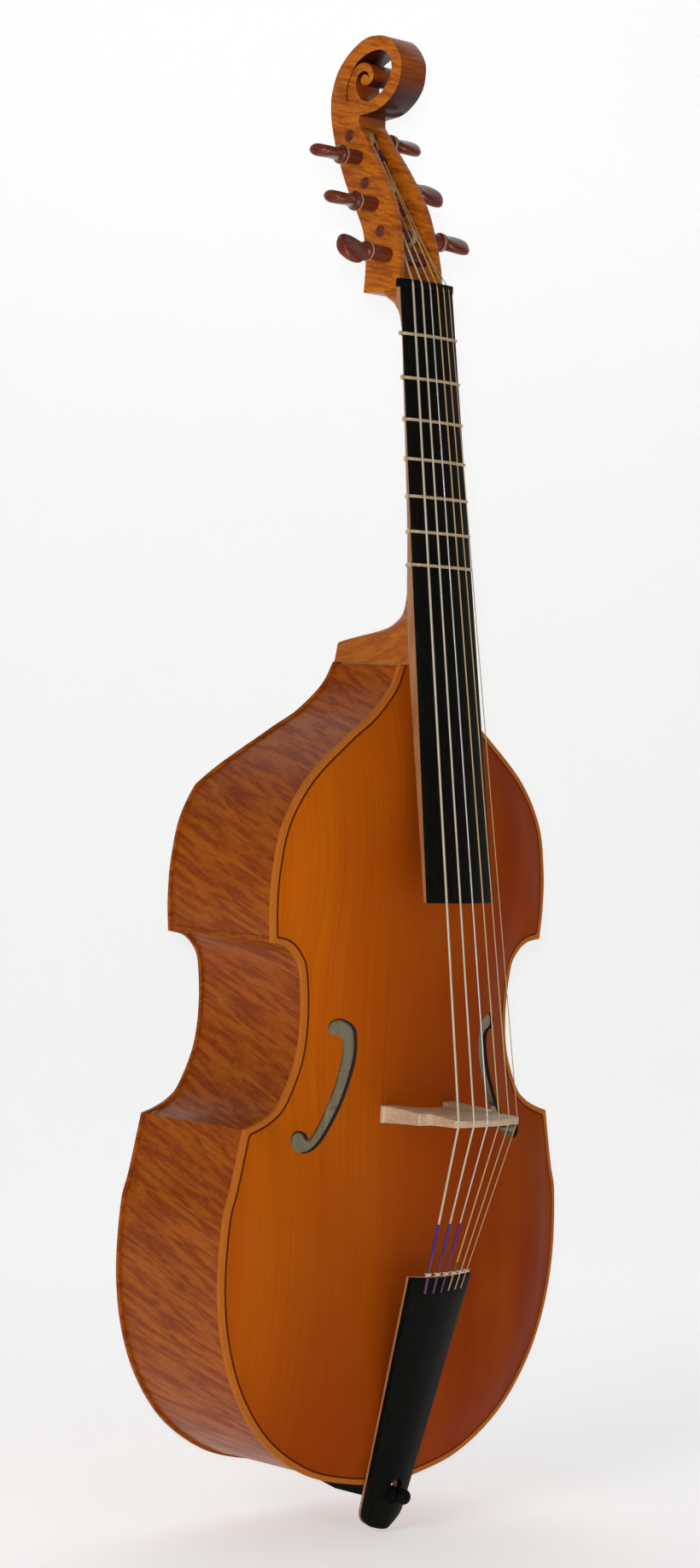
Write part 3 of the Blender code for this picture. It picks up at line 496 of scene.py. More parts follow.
def weld(mesh, distance):
    bm = bmesh.new()
    bm.from_mesh(mesh)
    bmesh.ops.remove_doubles(bm, verts=bm.verts, dist=distance)
    bm.to_mesh(mesh)
    bm.free()


def lofted(name, rings):
    """A closed solid through rings of points, with flat ends."""
    thing = grid_object(name, rings, round_way=True, caps=True)
    outward(thing)
    return thing


def evaluated_mesh(thing):
    bpy.context.view_layer.update()
    graph = bpy.context.evaluated_depsgraph_get()
    return bpy.data.meshes.new_from_object(thing.evaluated_get(graph))


def curve_mesh(name, curve):
    holder = add_object(name, curve)
    mesh = evaluated_mesh(holder)
    bpy.data.objects.remove(holder)
    return mesh


def baked(thing):
    """Applies a piece's modifiers."""
    mesh = evaluated_mesh(thing)
    thing.modifiers.clear()
    thing.data = mesh
    return thing


def thicken(thing, thickness, lined=False):
    """Gives a sheet its thickness; the inner face of a lined sheet takes the second material."""
    change = thing.modifiers.new("thickness", "SOLIDIFY")
    change.thickness = thickness
    change.offset = -1
    if lined:
        thing.data.materials.append(None)
        thing.data.materials.append(None)
        change.material_offset = 1


def round_edges(thing, width, segments, angle):
    """Rounds a piece's sharp edges and applies its modifiers."""
    change = thing.modifiers.new("round", "BEVEL")
    change.width = width
    change.segments = segments
    change.limit_method = "ANGLE"
    change.angle_limit = radians(angle)
    baked(thing)


def boolean(thing, tool, operation="DIFFERENCE"):
    change = thing.modifiers.new("cut", "BOOLEAN")
    change.operation = operation
    change.solver = "EXACT"
    change.object = tool
    baked(thing)
    bpy.data.objects.remove(tool)


def outline_object(name, outline, point_at):
    """A flat outline filled and extruded by one each way, then carried into place by point_at."""
    curve = bpy.data.curves.new(name, "CURVE")
    curve.dimensions = "2D"
    curve.fill_mode = "BOTH"
    curve.extrude = 1
    spline = curve.splines.new("POLY")
    spline.points.add(len(outline) - 1)
    for point, (u, v) in zip(spline.points, outline):
        point.co = (u, v, 0, 1)
    spline.use_cyclic_u = True
    mesh = curve_mesh(name, curve)
    bm = bmesh.new()
    bm.from_mesh(mesh)
    bmesh.ops.remove_doubles(bm, verts=bm.verts, dist=1e-7)
    bmesh.ops.dissolve_limit(bm, angle_limit=radians(1), verts=bm.verts, edges=bm.edges)
    for vertex in bm.verts:
        vertex.co = point_at(*vertex.co)
    bm.normal_update()
    bmesh.ops.recalc_face_normals(bm, faces=bm.faces)
    bm.to_mesh(mesh)
    bm.free()
    return add_object(name, mesh)


def tube(name, points, radius, smooth_steps=1, cyclic=False, resolution=3, radii=None):
    """A round tube along the points; radii are shares of its radius, one for each point."""
    points = [Vector(p) for p in points]
    if smooth_steps > 1:
        points = [Vector(p) for p in smooth_line(points, smooth_steps, cyclic, 1)]
    curve = bpy.data.curves.new(name, "CURVE")
    curve.dimensions = "3D"
    curve.bevel_depth = radius
    curve.bevel_resolution = resolution
    curve.use_fill_caps = True
    spline = curve.splines.new("POLY")
    spline.points.add(len(points) - 1)
    for index, (point, at) in enumerate(zip(spline.points, points)):
        point.co = (*at, 1)
        if radii is not None:
            point.radius = radii[index]
    spline.use_cyclic_u = cyclic
    mesh = curve_mesh(name, curve)
    weld(mesh, 1e-6)
    return add_object(name, mesh)


def joined(name, things):
    """One object from several, each keeping its own mesh island."""
    bm = bmesh.new()
    for thing in things:
        thing.data.transform(thing.matrix_world)
        bm.from_mesh(thing.data)
        bpy.data.objects.remove(thing)
    mesh = bpy.data.meshes.new(name)
    bm.to_mesh(mesh)
    bm.free()
    return add_object(name, mesh)


def piece(thing, body, material, nodes=(), angle=35, shift=True):
    """Shifts a finished piece into the row frame, shades it and puts it on its body."""
    mesh = thing.data
    mesh.transform(thing.matrix_world)
    thing.matrix_world = Matrix.Identity(4)
    if shift:
        mesh.transform(Matrix.Translation(-LEDGE))
    mesh.polygons.foreach_set("use_smooth", [True] * len(mesh.polygons))
    mesh.set_sharp_from_angle(angle=radians(angle))
    if not isinstance(material, (list, tuple)):
        material = [material]
    while len(mesh.materials) < len(material):
        mesh.materials.append(None)
    for index, entry in enumerate(material):
        mesh.materials[index] = entry
    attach(thing, body)
    if nodes:
        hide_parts(*nodes)


def point_attribute(mesh, name, values, kind="FLOAT"):
    layer = mesh.attributes.new(name, kind, "POINT")
    key = "value" if kind == "FLOAT" else "vector"
    layer.data.foreach_set(key, np.asarray(values, np.float32).reshape(-1))


# ---- the body

FINE = 10
LOWER_LINE = smooth_line(LOWER_BOUT, FINE)
WAIST_LINE = smooth_line(WAIST, FINE)
UPPER_LINE = smooth_line(UPPER_BOUT, FINE)
HALF_OUTLINE = np.vstack([LOWER_LINE, WAIST_LINE[1:], UPPER_LINE[1:]])


def line_distance(points, line):
    start = line[:-1]
    along = line[1:] - start
    offset = points[:, None, :] - start
    share = np.clip((offset * along).sum(2) / (along * along).sum(1), 0, 1)
    gap = offset - share[:, :, None] * along
    return np.sqrt((gap**2).sum(2).min(1))


def edge_distances(points):
    """Distance from each (x, z) to each of the six stretches of the outline."""
    found = []
    for line in (LOWER_LINE, WAIST_LINE, UPPER_LINE):
        for side in (1, -1):
            found.append(line_distance(points, line * (side, 1)))
    return np.array(found)


def belly_y(points):
    distances = np.maximum(edge_distances(points), 1e-6)
    reach = (distances**-3.0).sum(0) ** (-1 / 3)
    return -ARCH_HEIGHT * (1 - np.exp(-((reach / ARCH_REACH) ** 1.6)))


def belly_at(x, z):
    return float(belly_y(np.array([[x, z]]))[0])


def back_y(z):
    heights, depths = np.array(BACK_PROFILE).T * MM
    return float(np.interp(z, heights, depths))


def back_rows(levels, inset, lift, columns):
    """Rows across the back, this far in from its outline and this far in front of its outer face."""
    rows = []
    for z in levels:
        half = np.interp(z, HALF_OUTLINE[:, 1], HALF_OUTLINE[:, 0]) - inset
        rows.append([(half * u, back_y(z) - lift, z) for u in np.linspace(1, -1, columns)])
    return rows


def plate_rows(columns):
    """Rows of (x, z) across the outline, closer together near its edges."""
    share = np.linspace(-1, 1, columns)
    share = np.sin(share * pi / 2) * 0.75 + share * 0.25
    outline = HALF_OUTLINE.copy()
    lowest_half = 1.5 * MM
    outline[0, 0] = lowest_half
    return [[(half * u, z) for u in share] for half, z in outline]


def make_belly(spruce, raw, stain):
    """The carved belly, varnished outside, raw inside and stained on the sound holes' cut walls."""
    rows = np.array(plate_rows(57))
    flat = rows.reshape(-1, 2)
    points = np.stack([flat[:, 0], belly_y(flat), flat[:, 1]], axis=1)
    belly = grid_object("belly", points.reshape(*rows.shape[:2], 3))
    thicken(belly, TOP_THICKNESS)
    round_edges(belly, 1.3 * MM, 3, 60)
    outward(belly)
    hole = smooth_line(SOUND_HOLE, 6, closed=True)
    for side in (-1, 1):

        def through(u, v, w, side=side):
            return Vector((side * u, 30 * MM * w - 10 * MM, v))

        boolean(belly, outline_object("hole", hole, through))
    mesh = belly.data
    points = np.array([vertex.co for vertex in mesh.vertices])
    point_attribute(mesh, "rim", edge_distances(points[:, [0, 2]]).min(0))
    piece(belly, ROOT, [spruce, raw, stain], ["top_plate"], 50)
    centres = np.array([face.center + LEDGE for face in mesh.polygons])
    inside = edge_distances(centres[:, [0, 2]]).min(0)
    rounded_edge = 4.5 * MM
    for face, distance in zip(mesh.polygons, inside):
        if distance > rounded_edge and face.normal.y > -0.5:
            face.material_index = 1 if face.normal.y > 0.5 else 2


def make_back(maple, raw):
    """The flat back with its fold, and a thin raw lining, which shows through the sound holes."""
    levels = sorted({*HALF_OUTLINE[:, 1], *(z * MM for z, _ in BACK_PROFILE[1:-1])})
    back = grid_object("back", back_rows(levels, 0, 0, 15))
    thicken(back, BACK_THICKNESS)
    round_edges(back, 1.1 * MM, 3, 60)
    outward(back)
    piece(back, ROOT, maple, ["back_plate"], 25)
    end_levels = 4
    inner_levels = levels[end_levels:-end_levels]
    lining = grid_object("back_inside", back_rows(inner_levels, 8 * MM, BACK_THICKNESS * 1.3, 7))
    thicken(lining, 0.3 * MM)
    piece(baked(lining), ROOT, raw, (), 30)


def make_ribs(maple, raw):
    """Six bent ribs, whose front edges go a little way into the belly."""
    front = TOP_THICKNESS - 0.6 * MM
    corner_half = 181.8 * MM
    for word, line in (("lower", LOWER_LINE), ("waist", WAIST_LINE), ("upper", UPPER_LINE)):
        along = np.gradient(line, axis=0)
        along /= np.linalg.norm(along, axis=1)[:, None]
        inward = np.stack([-along[:, 1], along[:, 0]], axis=1)
        path = line + inward * OVERHANG
        if word == "lower":
            path[0, 0] = 0.2 * MM
        if word == "waist":
            path = path[path[:, 0] < corner_half]
        length = np.append(0, np.cumsum(np.linalg.norm(np.diff(path, axis=0), axis=1)))
        for side, hand in ((-1, "left"), (1, "right")):
            rows, grain = [], []
            for share in np.linspace(0, 1, 5):
                row = []
                for (x, z), run in zip(path, length):
                    back = back_y(z) - BACK_THICKNESS
                    y = front + (back - front) * share
                    row.append((side * x, y, z))
                    grain.append((run + side, y, 0))
                rows.append(row)
            rib = grid_object(f"{word}_rib_{hand}", rows)
            point_attribute(rib.data, "grain", grain, "FLOAT_VECTOR")
            if side > 0:
                rib.data.flip_normals()
            thicken(rib, RIB_THICKNESS, lined=True)
            baked(rib)
            piece(rib, ROOT, [maple, raw], [f"rib_{word}_{hand}"], 30)


# ---- neck and head

def board_edge_y(z):
    return FINGERBOARD_EDGE_Y - (NUT_Z - z) * tan(FINGERBOARD_TILT)


def board_half(z):
    share = (NUT_Z - z) / FINGERBOARD_LENGTH
    return FINGERBOARD_NUT_HALF + (FINGERBOARD_END_HALF - FINGERBOARD_NUT_HALF) * share


def board_rise(z):
    return (4.5 + 1.5 * (NUT_Z - z) / FINGERBOARD_LENGTH) * MM


def core_depth(z):
    heel_z = 690 * MM
    return float(np.interp(z, [FINGERBOARD_END_Z, heel_z, NUT_Z], [3 * MM, 9.5 * MM, 5 * MM]))


def crown_row(half, edge, rise, z, columns):
    """Points across a face that rises this much from its two edges to its middle."""
    return [(half * u, edge - rise * (1 - u * u), z) for u in np.linspace(-1, 1, columns)]


NECK_LINE = smooth_line(NECK_SECTIONS, 6, unit=1)


def neck_values(z):
    heights, halves, backs, powers = NECK_LINE.T
    return [float(np.interp(z / MM, heights, row)) for row in (halves, backs, powers)]


def side_at(z, depth):
    """The fingerboard's half width at a depth below its edge: it follows the neck above the heel."""
    _, back, power = neck_values(z)
    full = back * MM - board_edge_y(z)
    rounded = board_half(z) * (1 - min(depth / full, 1) ** power) ** (1 / power)
    upright = board_half(z) - 0.12 * depth
    heel_top = 700 * MM
    return upright if z < heel_top else min(rounded, upright)


def round_back(angle, power):
    """A point of the neck's round back, as shares of its half width and of its full depth."""
    side = 1 if cos(angle) > 0 else -1
    return side * abs(cos(angle)) ** (2 / power), sin(angle) ** (2 / power)


def neck_ring(z, half, back, power, front, count):
    edge = board_edge_y(z)
    full = back * MM - edge
    first = np.arcsin(((front - edge) / full) ** (power / 2))
    ring = []
    for angle in np.linspace(first, pi - first, count):
        across, deep = round_back(angle, power)
        ring.append((half * MM * across, edge + full * deep, z))
    return ring


def make_neck(maple):
    rings = []
    least_power = 1.45
    for z, half, back, power in NECK_LINE:
        z *= MM
        front = board_edge_y(z) + EBONY_EDGE + core_depth(z)
        rings.append(neck_ring(z, half, back, max(power, least_power), front, 49))
    piece(lofted("neck_shaft", rings), ROOT, maple, ["neck"], 40)


def make_fingerboard(ebony, core_wood):
    board, core = [], []
    over_body = np.linspace(FINGERBOARD_END_Z, 720 * MM, 8)
    over_neck = np.linspace(730 * MM, NUT_Z, 24)
    for z in [*over_body, *over_neck]:
        edge = board_edge_y(z)
        crown = crown_row(board_half(z), edge, board_rise(z), z, 21)
        under = side_at(z, EBONY_EDGE)
        board.append([*crown, (under, edge + EBONY_EDGE, z), (-under, edge + EBONY_EDGE, z)])
        deep = EBONY_EDGE + core_depth(z)
        right = [(side_at(z, d), edge + d, z) for d in np.linspace(EBONY_EDGE, deep, 5)]
        core.append([*right, *[(-x, y, z) for x, y, z in reversed(right)]])
    top = lofted("ebony_board", board)
    round_edges(top, 0.5 * MM, 2, 35)
    piece(top, ROOT, ebony, ["fingerboard"], 30)
    piece(lofted("board_core", core), ROOT, core_wood, ["fingerboard_core"], 35)


def make_nut(ebony):
    rows = []
    rises = [(0.0, 4.8), (1.5, 6.0), (3.5, 6.7), (5.5, 6.5), (6.8, 5.2), (7.2, 3.6)]
    half = FINGERBOARD_NUT_HALF
    seat_y = 26.5 * MM
    for along, rise in rises:
        z = NUT_Z + along * MM
        crown = crown_row(half, NUT_EDGE_Y, rise * MM, z, 31)
        rows.append([*crown, (half, seat_y, z), (-half, seat_y, z)])
    nut = lofted("string_nut", rows)
    round_edges(nut, 0.6 * MM, 2, 40)
    piece(nut, ROOT, ebony, ["nut"], 35)


def fret_loop(z, clear):
    """The closed line round fingerboard and neck at a height, this far out from their surface."""
    edge, half = board_edge_y(z), board_half(z)
    _, back, power = neck_values(z)
    full = back * MM - edge
    loop = [(x, y) for x, y, _ in crown_row(half, edge, board_rise(z), z, 21)]
    for angle in np.linspace(0.2, pi - 0.2, 37):
        across, deep = round_back(angle, power)
        loop.append((half * across, edge + full * deep))
    loop = np.array(loop)
    along = np.roll(loop, -1, axis=0) - np.roll(loop, 1, axis=0)
    along /= np.linalg.norm(along, axis=1)[:, None]
    return loop + np.stack([along[:, 1], -along[:, 0]], axis=1) * clear


def fret_knot(corner_x, corner_y, z):
    """The knot at the fingerboard's left edge: a little more than one turn of a winding loop."""
    knot = []
    for turn in np.linspace(0, 2.6 * pi, 13):
        out = 1.1 + 0.5 * cos(2 * turn)
        x = corner_x - (0.3 + out * abs(sin(turn / 2))) * MM
        y = corner_y + (2.6 + 1.5 * cos(turn)) * MM
        knot.append((x, y, z + 1.5 * sin(turn) * MM))
    return tube("knot", knot, FRET_RADIUS, smooth_steps=3)


def make_frets(gut):
    """Double gut frets. Each loop fits the neck a little nearer the body than its slide reaches."""
    for number in range(1, FRETS + 1):
        z = NUT_Z - STRING_LENGTH * (1 - 2 ** (-number / 12))
        lower = z - 1.5 * FRET_SLIDE
        loop = fret_loop(lower, FRET_RADIUS + FRET_GAP)
        loop[:, 1] += board_edge_y(z) - board_edge_y(lower)
        strands = []
        for side in (-1, 1):
            points = [(x, y, z + side * FRET_RADIUS) for x, y in loop]
            strands.append(tube("strand", points, FRET_RADIUS, cyclic=True))
        strands.append(fret_knot(*loop[0], z))
        fret = joined(f"gut_fret_{number}", strands)
        piece(fret, f"tied_fret_{number}", gut, [f"fret_{number}"])


def head_half(z):
    return float(np.interp(z, [0.985, 1.160], [28.5 * MM, 15.5 * MM]))


def volute_outline():
    """A band that leaves the scroll's back wall and curls over the top and down in to the eye."""
    centre = np.array(VOLUTE_CENTRE) * MM
    sides = []
    for spiral in (VOLUTE_OUTER, VOLUTE_INNER):
        degrees, radii = smooth_line(spiral, 5, unit=1).T
        turns = np.radians(degrees)
        sides.append(centre + np.stack([np.cos(turns), np.sin(turns)], axis=1) * radii[:, None] * MM)
    return np.vstack([sides[0], sides[1][::-1]])


def turned_solid(name, profile):
    """A solid turned about z from (radius, height) pairs that start and end on the axis."""
    rings = []
    turns = np.linspace(0, 2 * pi, 32, endpoint=False)
    for radius, height in profile:
        radius = max(radius, 1e-5)
        rings.append([(radius * cos(t), radius * sin(t), height) for t in turns])
    return lofted(name, rings)


def make_head(maple):
    """The pegbox with its trough, its open scroll and the volute's band and eye, as one solid."""

    def solid(shrink):
        def at(u, v, w):
            return Vector((w * (head_half(v) - shrink), u, v))

        return at

    back = smooth_line(HEAD_BACK, 4)
    front = smooth_line(HEAD_FRONT, 4)
    socket = np.array([(54.4, 997.6), (54.4, 997)]) * MM
    head = outline_object("head", np.vstack([back, front, socket]), solid(0))
    trough = smooth_line(TROUGH[1:9], 3)
    trough = np.vstack([np.array(TROUGH[:1]) * MM, trough, np.array(TROUGH[9:]) * MM])
    boolean(head, outline_object("trough", trough, solid(CHEEK)))
    hole = smooth_line(SCROLL_HOLE, 5, closed=True)
    boolean(head, outline_object("scroll_hole", hole, solid(-5 * MM)))
    boolean(head, outline_object("volute", volute_outline(), solid(0.8 * MM)), "UNION")
    radius, reach = 4.6 * MM, 14.2 * MM
    eye = turned_solid("eye", [(0, -reach), (radius, -reach), (radius, reach), (0, reach)])
    centre_y, centre_z = VOLUTE_CENTRE
    centre = Matrix.Translation((0, centre_y * MM, centre_z * MM))
    eye.matrix_world = centre @ Matrix.Rotation(pi / 2, 4, "Y")
    boolean(head, eye, "UNION")
    round_edges(head, 1.2 * MM, 3, 50)
    piece(head, ROOT, maple, ["pegbox"], 30)


def peg_axis(number):
    """The point that the frame gives on a peg's axis, in the row frame."""
    joint = next(j for j in frame["joints"] if j["name"] == f"peg_{number}_turn")
    return Vector(joint["pos_m"])


def peg_sections(half, out):
    """A peg's (place along it, half width, half thickness): its shank, turned collar and flat head."""
    shank = [(-half - 0.6 * MM, 4.7, 4.7), (-half - 0.3 * MM, 5.3, 5.3)]
    shank += [(half, 6.3, 6.3), (out + 14.5 * MM, 6.7, 6.7)]
    collar = [(15.2, 6.9), (15.6, 7.9), (17.2, 8.3), (19.2, 8.2), (20.4, 7.4), (21.2, 6.3)]
    shapes = [(22.3, 6.2, 6.0), (24, 8.4, 5.7), (27, 11.4, 5.3), (31, 13.8, 5.2), (36, 14.7, 5.4)]
    shapes += [(40, 14.2, 5.5), (43.5, 12.2, 5.5), (46, 9.4, 5.3), (47.5, 6.4, 4.4), (48.1, 3, 2)]
    sections = [(along, wide * MM, thin * MM) for along, wide, thin in shank]
    sections += [(out + along * MM, radius * MM, radius * MM) for along, radius in collar]
    return sections + [(out + along, wide, thin) for along, wide, thin in smooth_line(shapes, 3)]


def make_pegs(wood, ring_wood, windings):
    ring_out, ring_inner, ring_outer, ring_half = 16.4 * MM, 7.75 * MM, 8.55 * MM, 0.7 * MM
    angles = np.linspace(0, 2 * pi, 36, endpoint=False)
    for number, turn in enumerate(PEG_TURNS, 1):
        low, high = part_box(f"peg_{number}")
        side = 1 if high.x > -low.x else -1
        axis = peg_axis(number)
        half = head_half(axis.z + LEDGE.z)
        out = half + PEG_REACH[number - 1]
        rings = []
        for along, wide, thin in peg_sections(half, out):
            rings.append([(along, wide * cos(a), thin * sin(a)) for a in angles])
        peg = lofted(f"tuning_peg_wood_{number}", rings)
        place = Matrix.Translation(axis) @ Matrix.Rotation(0 if side > 0 else pi, 4, "Z")
        peg.matrix_world = place @ Matrix.Rotation(radians(turn) * side, 4, "X")
        body = f"tuning_peg_{number}"
        piece(peg, body, wood, [f"peg_{number}"], 40, shift=False)
        band = turned_band(f"peg_ring_{number}", ring_inner, ring_outer, ring_half)
        across = Matrix.Translation((out + ring_out, 0, 0)) @ Matrix.Rotation(pi / 2, 4, "Y")
        band.matrix_world = place @ across
        piece(band, body, ring_wood, (), 40, shift=False)
        make_winding(number, axis, windings[number - 1])


def turned_band(name, inner, outer, half):
    """A ring with a rounded outer face, turned about z."""
    rings = []
    shoulder = outer - 0.2 * MM
    profile = [(inner, -half), (shoulder, -half), (outer, 0), (shoulder, half), (inner, half)]
    for turn in np.linspace(0, 2 * pi, 40, endpoint=False):
        rings.append([(radius * cos(turn), radius * sin(turn), z) for radius, z in profile])
    rings.append(rings[0])
    thing = grid_object(name, rings, round_way=True)
    weld(thing.data, 1e-7)
    outward(thing)
    return thing


def make_winding(number, axis, material):
    """The turns of string on a peg, as one helix that lies on a plain core."""
    low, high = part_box(f"string_winding_{number}")
    index = PEG_STRING[number - 1]
    radius = STRING_DIAMETERS[index] / 2
    length = high.x - low.x
    pitch = 2.05 * radius
    turns = int(length / pitch)
    steps = turns * 20
    reach = WINDING_RADIUS - radius
    path = []
    for step in range(steps + 1):
        share = step / steps
        turn = share * turns * 2 * pi
        x = low.x + radius + (length - 2 * radius) * share
        path.append((x, axis.y + reach * cos(turn), axis.z + reach * sin(turn)))
    coil = tube("coil", path, radius, resolution=2)
    core = turned_band("core", 6.1 * MM, reach, length / 2 - 0.3 * MM)
    middle = Matrix.Translation(((low.x + high.x) / 2, axis.y, axis.z))
    core.matrix_world = middle @ Matrix.Rotation(pi / 2, 4, "Y")
    both = joined(f"string_turns_{number}", [coil, core])
    piece(both, f"tuning_peg_{number}", material, [f"string_winding_{number}"], 40, shift=False)


# ---- strings, bridge and tail

def tail_rise(share):
    """How far the tailpiece's arched face rises from its edges, at a share of its half width."""
    return 6.5 * MM * (1 - min(abs(share), 1) ** 2)


def string_points(index):
    """A string's four stops in the design frame: tailpiece, bridge, nut and the turns on its peg."""
    share = (index - 2.5) / 2.5
    radius = STRING_DIAMETERS[index] / 2
    bridge_x = share * STRING_HALF_AT_BRIDGE
    bridge_y = BRIDGE_CROWN_Y + (BRIDGE_SIDE_Y - BRIDGE_CROWN_Y) * share**2 - radius * 0.4
    bridge = Vector((bridge_x, bridge_y, BRIDGE_Z))
    nut_x = share * STRING_HALF_AT_NUT
    across = nut_x / FINGERBOARD_NUT_HALF
    nut_y = NUT_EDGE_Y - NUT_RISE * (1 - across**2) - radius * 0.5
    nut = Vector((nut_x, nut_y, NUT_Z + 4 * MM))
    tail_x = share * 22 * MM
    tail = TAIL_TOP + (TAIL_FOOT - TAIL_TOP).normalized() * 12 * MM
    tail_y = tail.y - tail_rise(tail_x / TAIL_TOP_HALF) - 0.3 * MM
    number = PEG_STRING.index(index) + 1
    axis = peg_axis(number) + LEDGE
    low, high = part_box(f"string_winding_{number}")
    run = (Vector((0, axis.y, axis.z)) - nut).normalized()
    square = Vector((0, -run.z, run.y)).normalized()
    end = Vector(((low.x + high.x) / 2, axis.y, axis.z)) + square * (WINDING_RADIUS + radius * 0.5)
    return Vector((tail_x, tail_y, tail.z)), bridge, nut, end


def make_strings(materials, silks, cream):
    """The strings, which bend over nut and bridge and sag a hair between them."""
    bend = 3 * MM
    for index, diameter in enumerate(STRING_DIAMETERS):
        number = 6 - index
        tail, bridge, nut, end = string_points(index)
        low = bridge + (tail - bridge).normalized() * bend
        high = bridge + (nut - bridge).normalized() * bend
        before = nut + (bridge - nut).normalized() * bend
        after = nut + (end - nut).normalized() * bend
        middle_low = (low + high) / 2 + Vector((0, -0.05 * MM, 0))
        middle_high = (before + after) / 2 + Vector((0, -0.1 * MM, 0))
        stops = [tail, low, middle_low, high, before, middle_high, after, end]
        line = tube(f"strung_{number}", stops, diameter / 2)
        piece(line, ROOT, materials[index], [f"string_{number}"], 40)
        make_silk(index, tail, bridge, diameter / 2, silks)
        make_tail_knot(number, tail, bridge, diameter / 2, cream)
        if index == PEG_STRING[-1]:
            down = (nut - end).normalized()
            sleeve = [end + down * along * MM for along in np.linspace(17, 29, 5)]
            piece(tube("silk_by_peg_6", sleeve, diameter / 2 + 0.4 * MM), ROOT, silks[0], (), 40)


def make_silk(index, tail, bridge, radius, silks):
    """The silk wound on the lower end of the four thicker strings, as shares of tail to bridge."""
    silk, dark_silk, green = silks
    wraps = [(0.0, 0.235, dark_silk, 0.08), (0.235, 0.41, silk, 0.3)]
    if index == 3:
        wraps = [(0.1, 0.17, green, 0.15)]
    if index > 3:
        wraps = []
    for number, (start, end, material, extra) in enumerate(wraps):
        stretch = [tail.lerp(bridge, share) for share in np.linspace(start - 0.008, end, 7)]
        thick = [1.0, 1.02, 1.06, 1.08, 1.06, 1.04, 1.0]
        wrap = tube(f"silk_{6 - index}_{number}", stretch, radius + extra * MM, radii=thick)
        piece(wrap, ROOT, material, (), 40)


def make_tail_knot(number, tail, bridge, radius, cream):
    """The pale tie at the tailpiece's edge: two crossed strands and a loop round the string."""
    edge = tail.lerp(bridge, 0.105)
    strands = []
    bow = [(-3.6, 0.5, -1.2), (-2, -0.7, -0.6), (0, -1.9, 0.1), (2, -0.7, 0.8), (3.6, 0.5, 1.2)]
    for lean in (-1, 1):
        bar = [edge + Vector((along, out - 0.3 * lean, rise * lean)) * MM for along, out, rise in bow]
        strands.append(tube("strand", bar, 0.55 * MM, smooth_steps=4))
    reach = radius + 0.6 * MM
    loop = []
    for turn in np.linspace(0, 2 * pi, 16, endpoint=False):
        loop.append(edge + Vector((reach * cos(turn), reach * sin(turn), 0.9 * MM)))
    strands.append(tube("loop", loop, 0.5 * MM, cyclic=True))
    piece(joined(f"tail_knot_{number}", strands), ROOT, cream, (), 40)


def make_bridge(wood):
    """The carved bridge, whose feet stand on the arched belly and whose sides thin to the top."""
    feet = []
    for x in (46.8, 30.0):
        rises = [belly_at(x * MM, BRIDGE_Z + dz * MM) for dz in (-7, 0, 7)]
        feet.append((x, max(rises) / MM + 0.6))
    outer = smooth_line(BRIDGE_HALF, 3)
    crown = []
    for u in np.linspace(1, 0, 25)[1:]:
        y = BRIDGE_CROWN_Y + (BRIDGE_SIDE_Y - BRIDGE_CROWN_Y) * u**2
        crown.append((39 * u * MM, y))
    half = [np.array(feet[0]) * MM, *outer, *crown]
    arch = smooth_line([(-23, -31), *BRIDGE_ARCH], 4)
    arch = [p for p in arch if p[0] >= 0]
    inner = [*arch, np.array(feet[1]) * MM]
    left = [(-x, y) for x, y in reversed(half[:-1])]
    under = [(-x, y) for x, y in reversed(inner[1:])] + list(inner)
    outline = np.array([*half, *left, *under])

    def thick(u, v, w):
        height = min(max((-v - 17 * MM) / (86 * MM), 0), 1)
        return Vector((u, v, BRIDGE_Z + w * (7.3 - 4.6 * height) * MM))

    bridge = outline_object("carved_bridge", outline, thick)
    round_edges(bridge, 0.5 * MM, 2, 40)
    piece(bridge, ROOT, wood, ["bridge"], 30)


def tail_rows(shares, columns, front, back):
    """Sections of the tailpiece between two depths, each a share of the arch and an offset."""
    run = TAIL_FOOT - TAIL_TOP
    square = Vector((0, -run.z, run.y)).normalized()
    if square.y > 0:
        square = -square
    rows = []
    for share in shares:
        centre = TAIL_TOP + run * share
        half = TAIL_TOP_HALF + (TAIL_FOOT_HALF - TAIL_TOP_HALF) * share
        half *= sqrt(1 - 0.75 * (max(share - TAIL_TAPER, 0) / (1 - TAIL_TAPER)) ** 2.5)
        row = []
        for order, (lift, offset) in ((1, front), (-1, back)):
            for u in np.linspace(-1, 1, columns)[::order]:
                base = centre + Vector((half * u, 0, 0))
                row.append(base + square * (tail_rise(u) * lift + offset))
        rows.append(row)
    return rows


def make_tailpiece(ebony, wood):
    """The arched tailpiece, an ebony face on a maple core, both cut through by the hook's slot."""
    shares = [*np.linspace(0, TAIL_TAPER, 12), 0.945, 0.96, 0.972, 0.982, 0.99, 0.996, 1.0]
    joint = (1, -TAIL_FACE)
    core_back = (0.6, -TAIL_FACE - TAIL_CORE)
    face = lofted("ebony_tail", tail_rows(shares, 25, (1, 0), joint))
    core = lofted("tail_core", tail_rows(shares, 25, joint, core_back))
    half_slot = [(0, -1), (6, -5), (7, -13), (5.5, -20)]
    outline = [*half_slot, (0, -23), *[(-x, z) for x, z in reversed(half_slot[1:])]]
    for thing in (face, core):
        slot = outline_object(
            "slot",
            smooth_line(outline, 4, closed=True),
            lambda u, v, w: Vector((u, 30 * MM * w - 10 * MM, v)),
        )
        boolean(thing, slot)
        round_edges(thing, 0.4 * MM, 2, 50)
    piece(face, ROOT, ebony, ["tailpiece"], 35)
    piece(core, ROOT, wood, ["tailpiece_core"], 35)


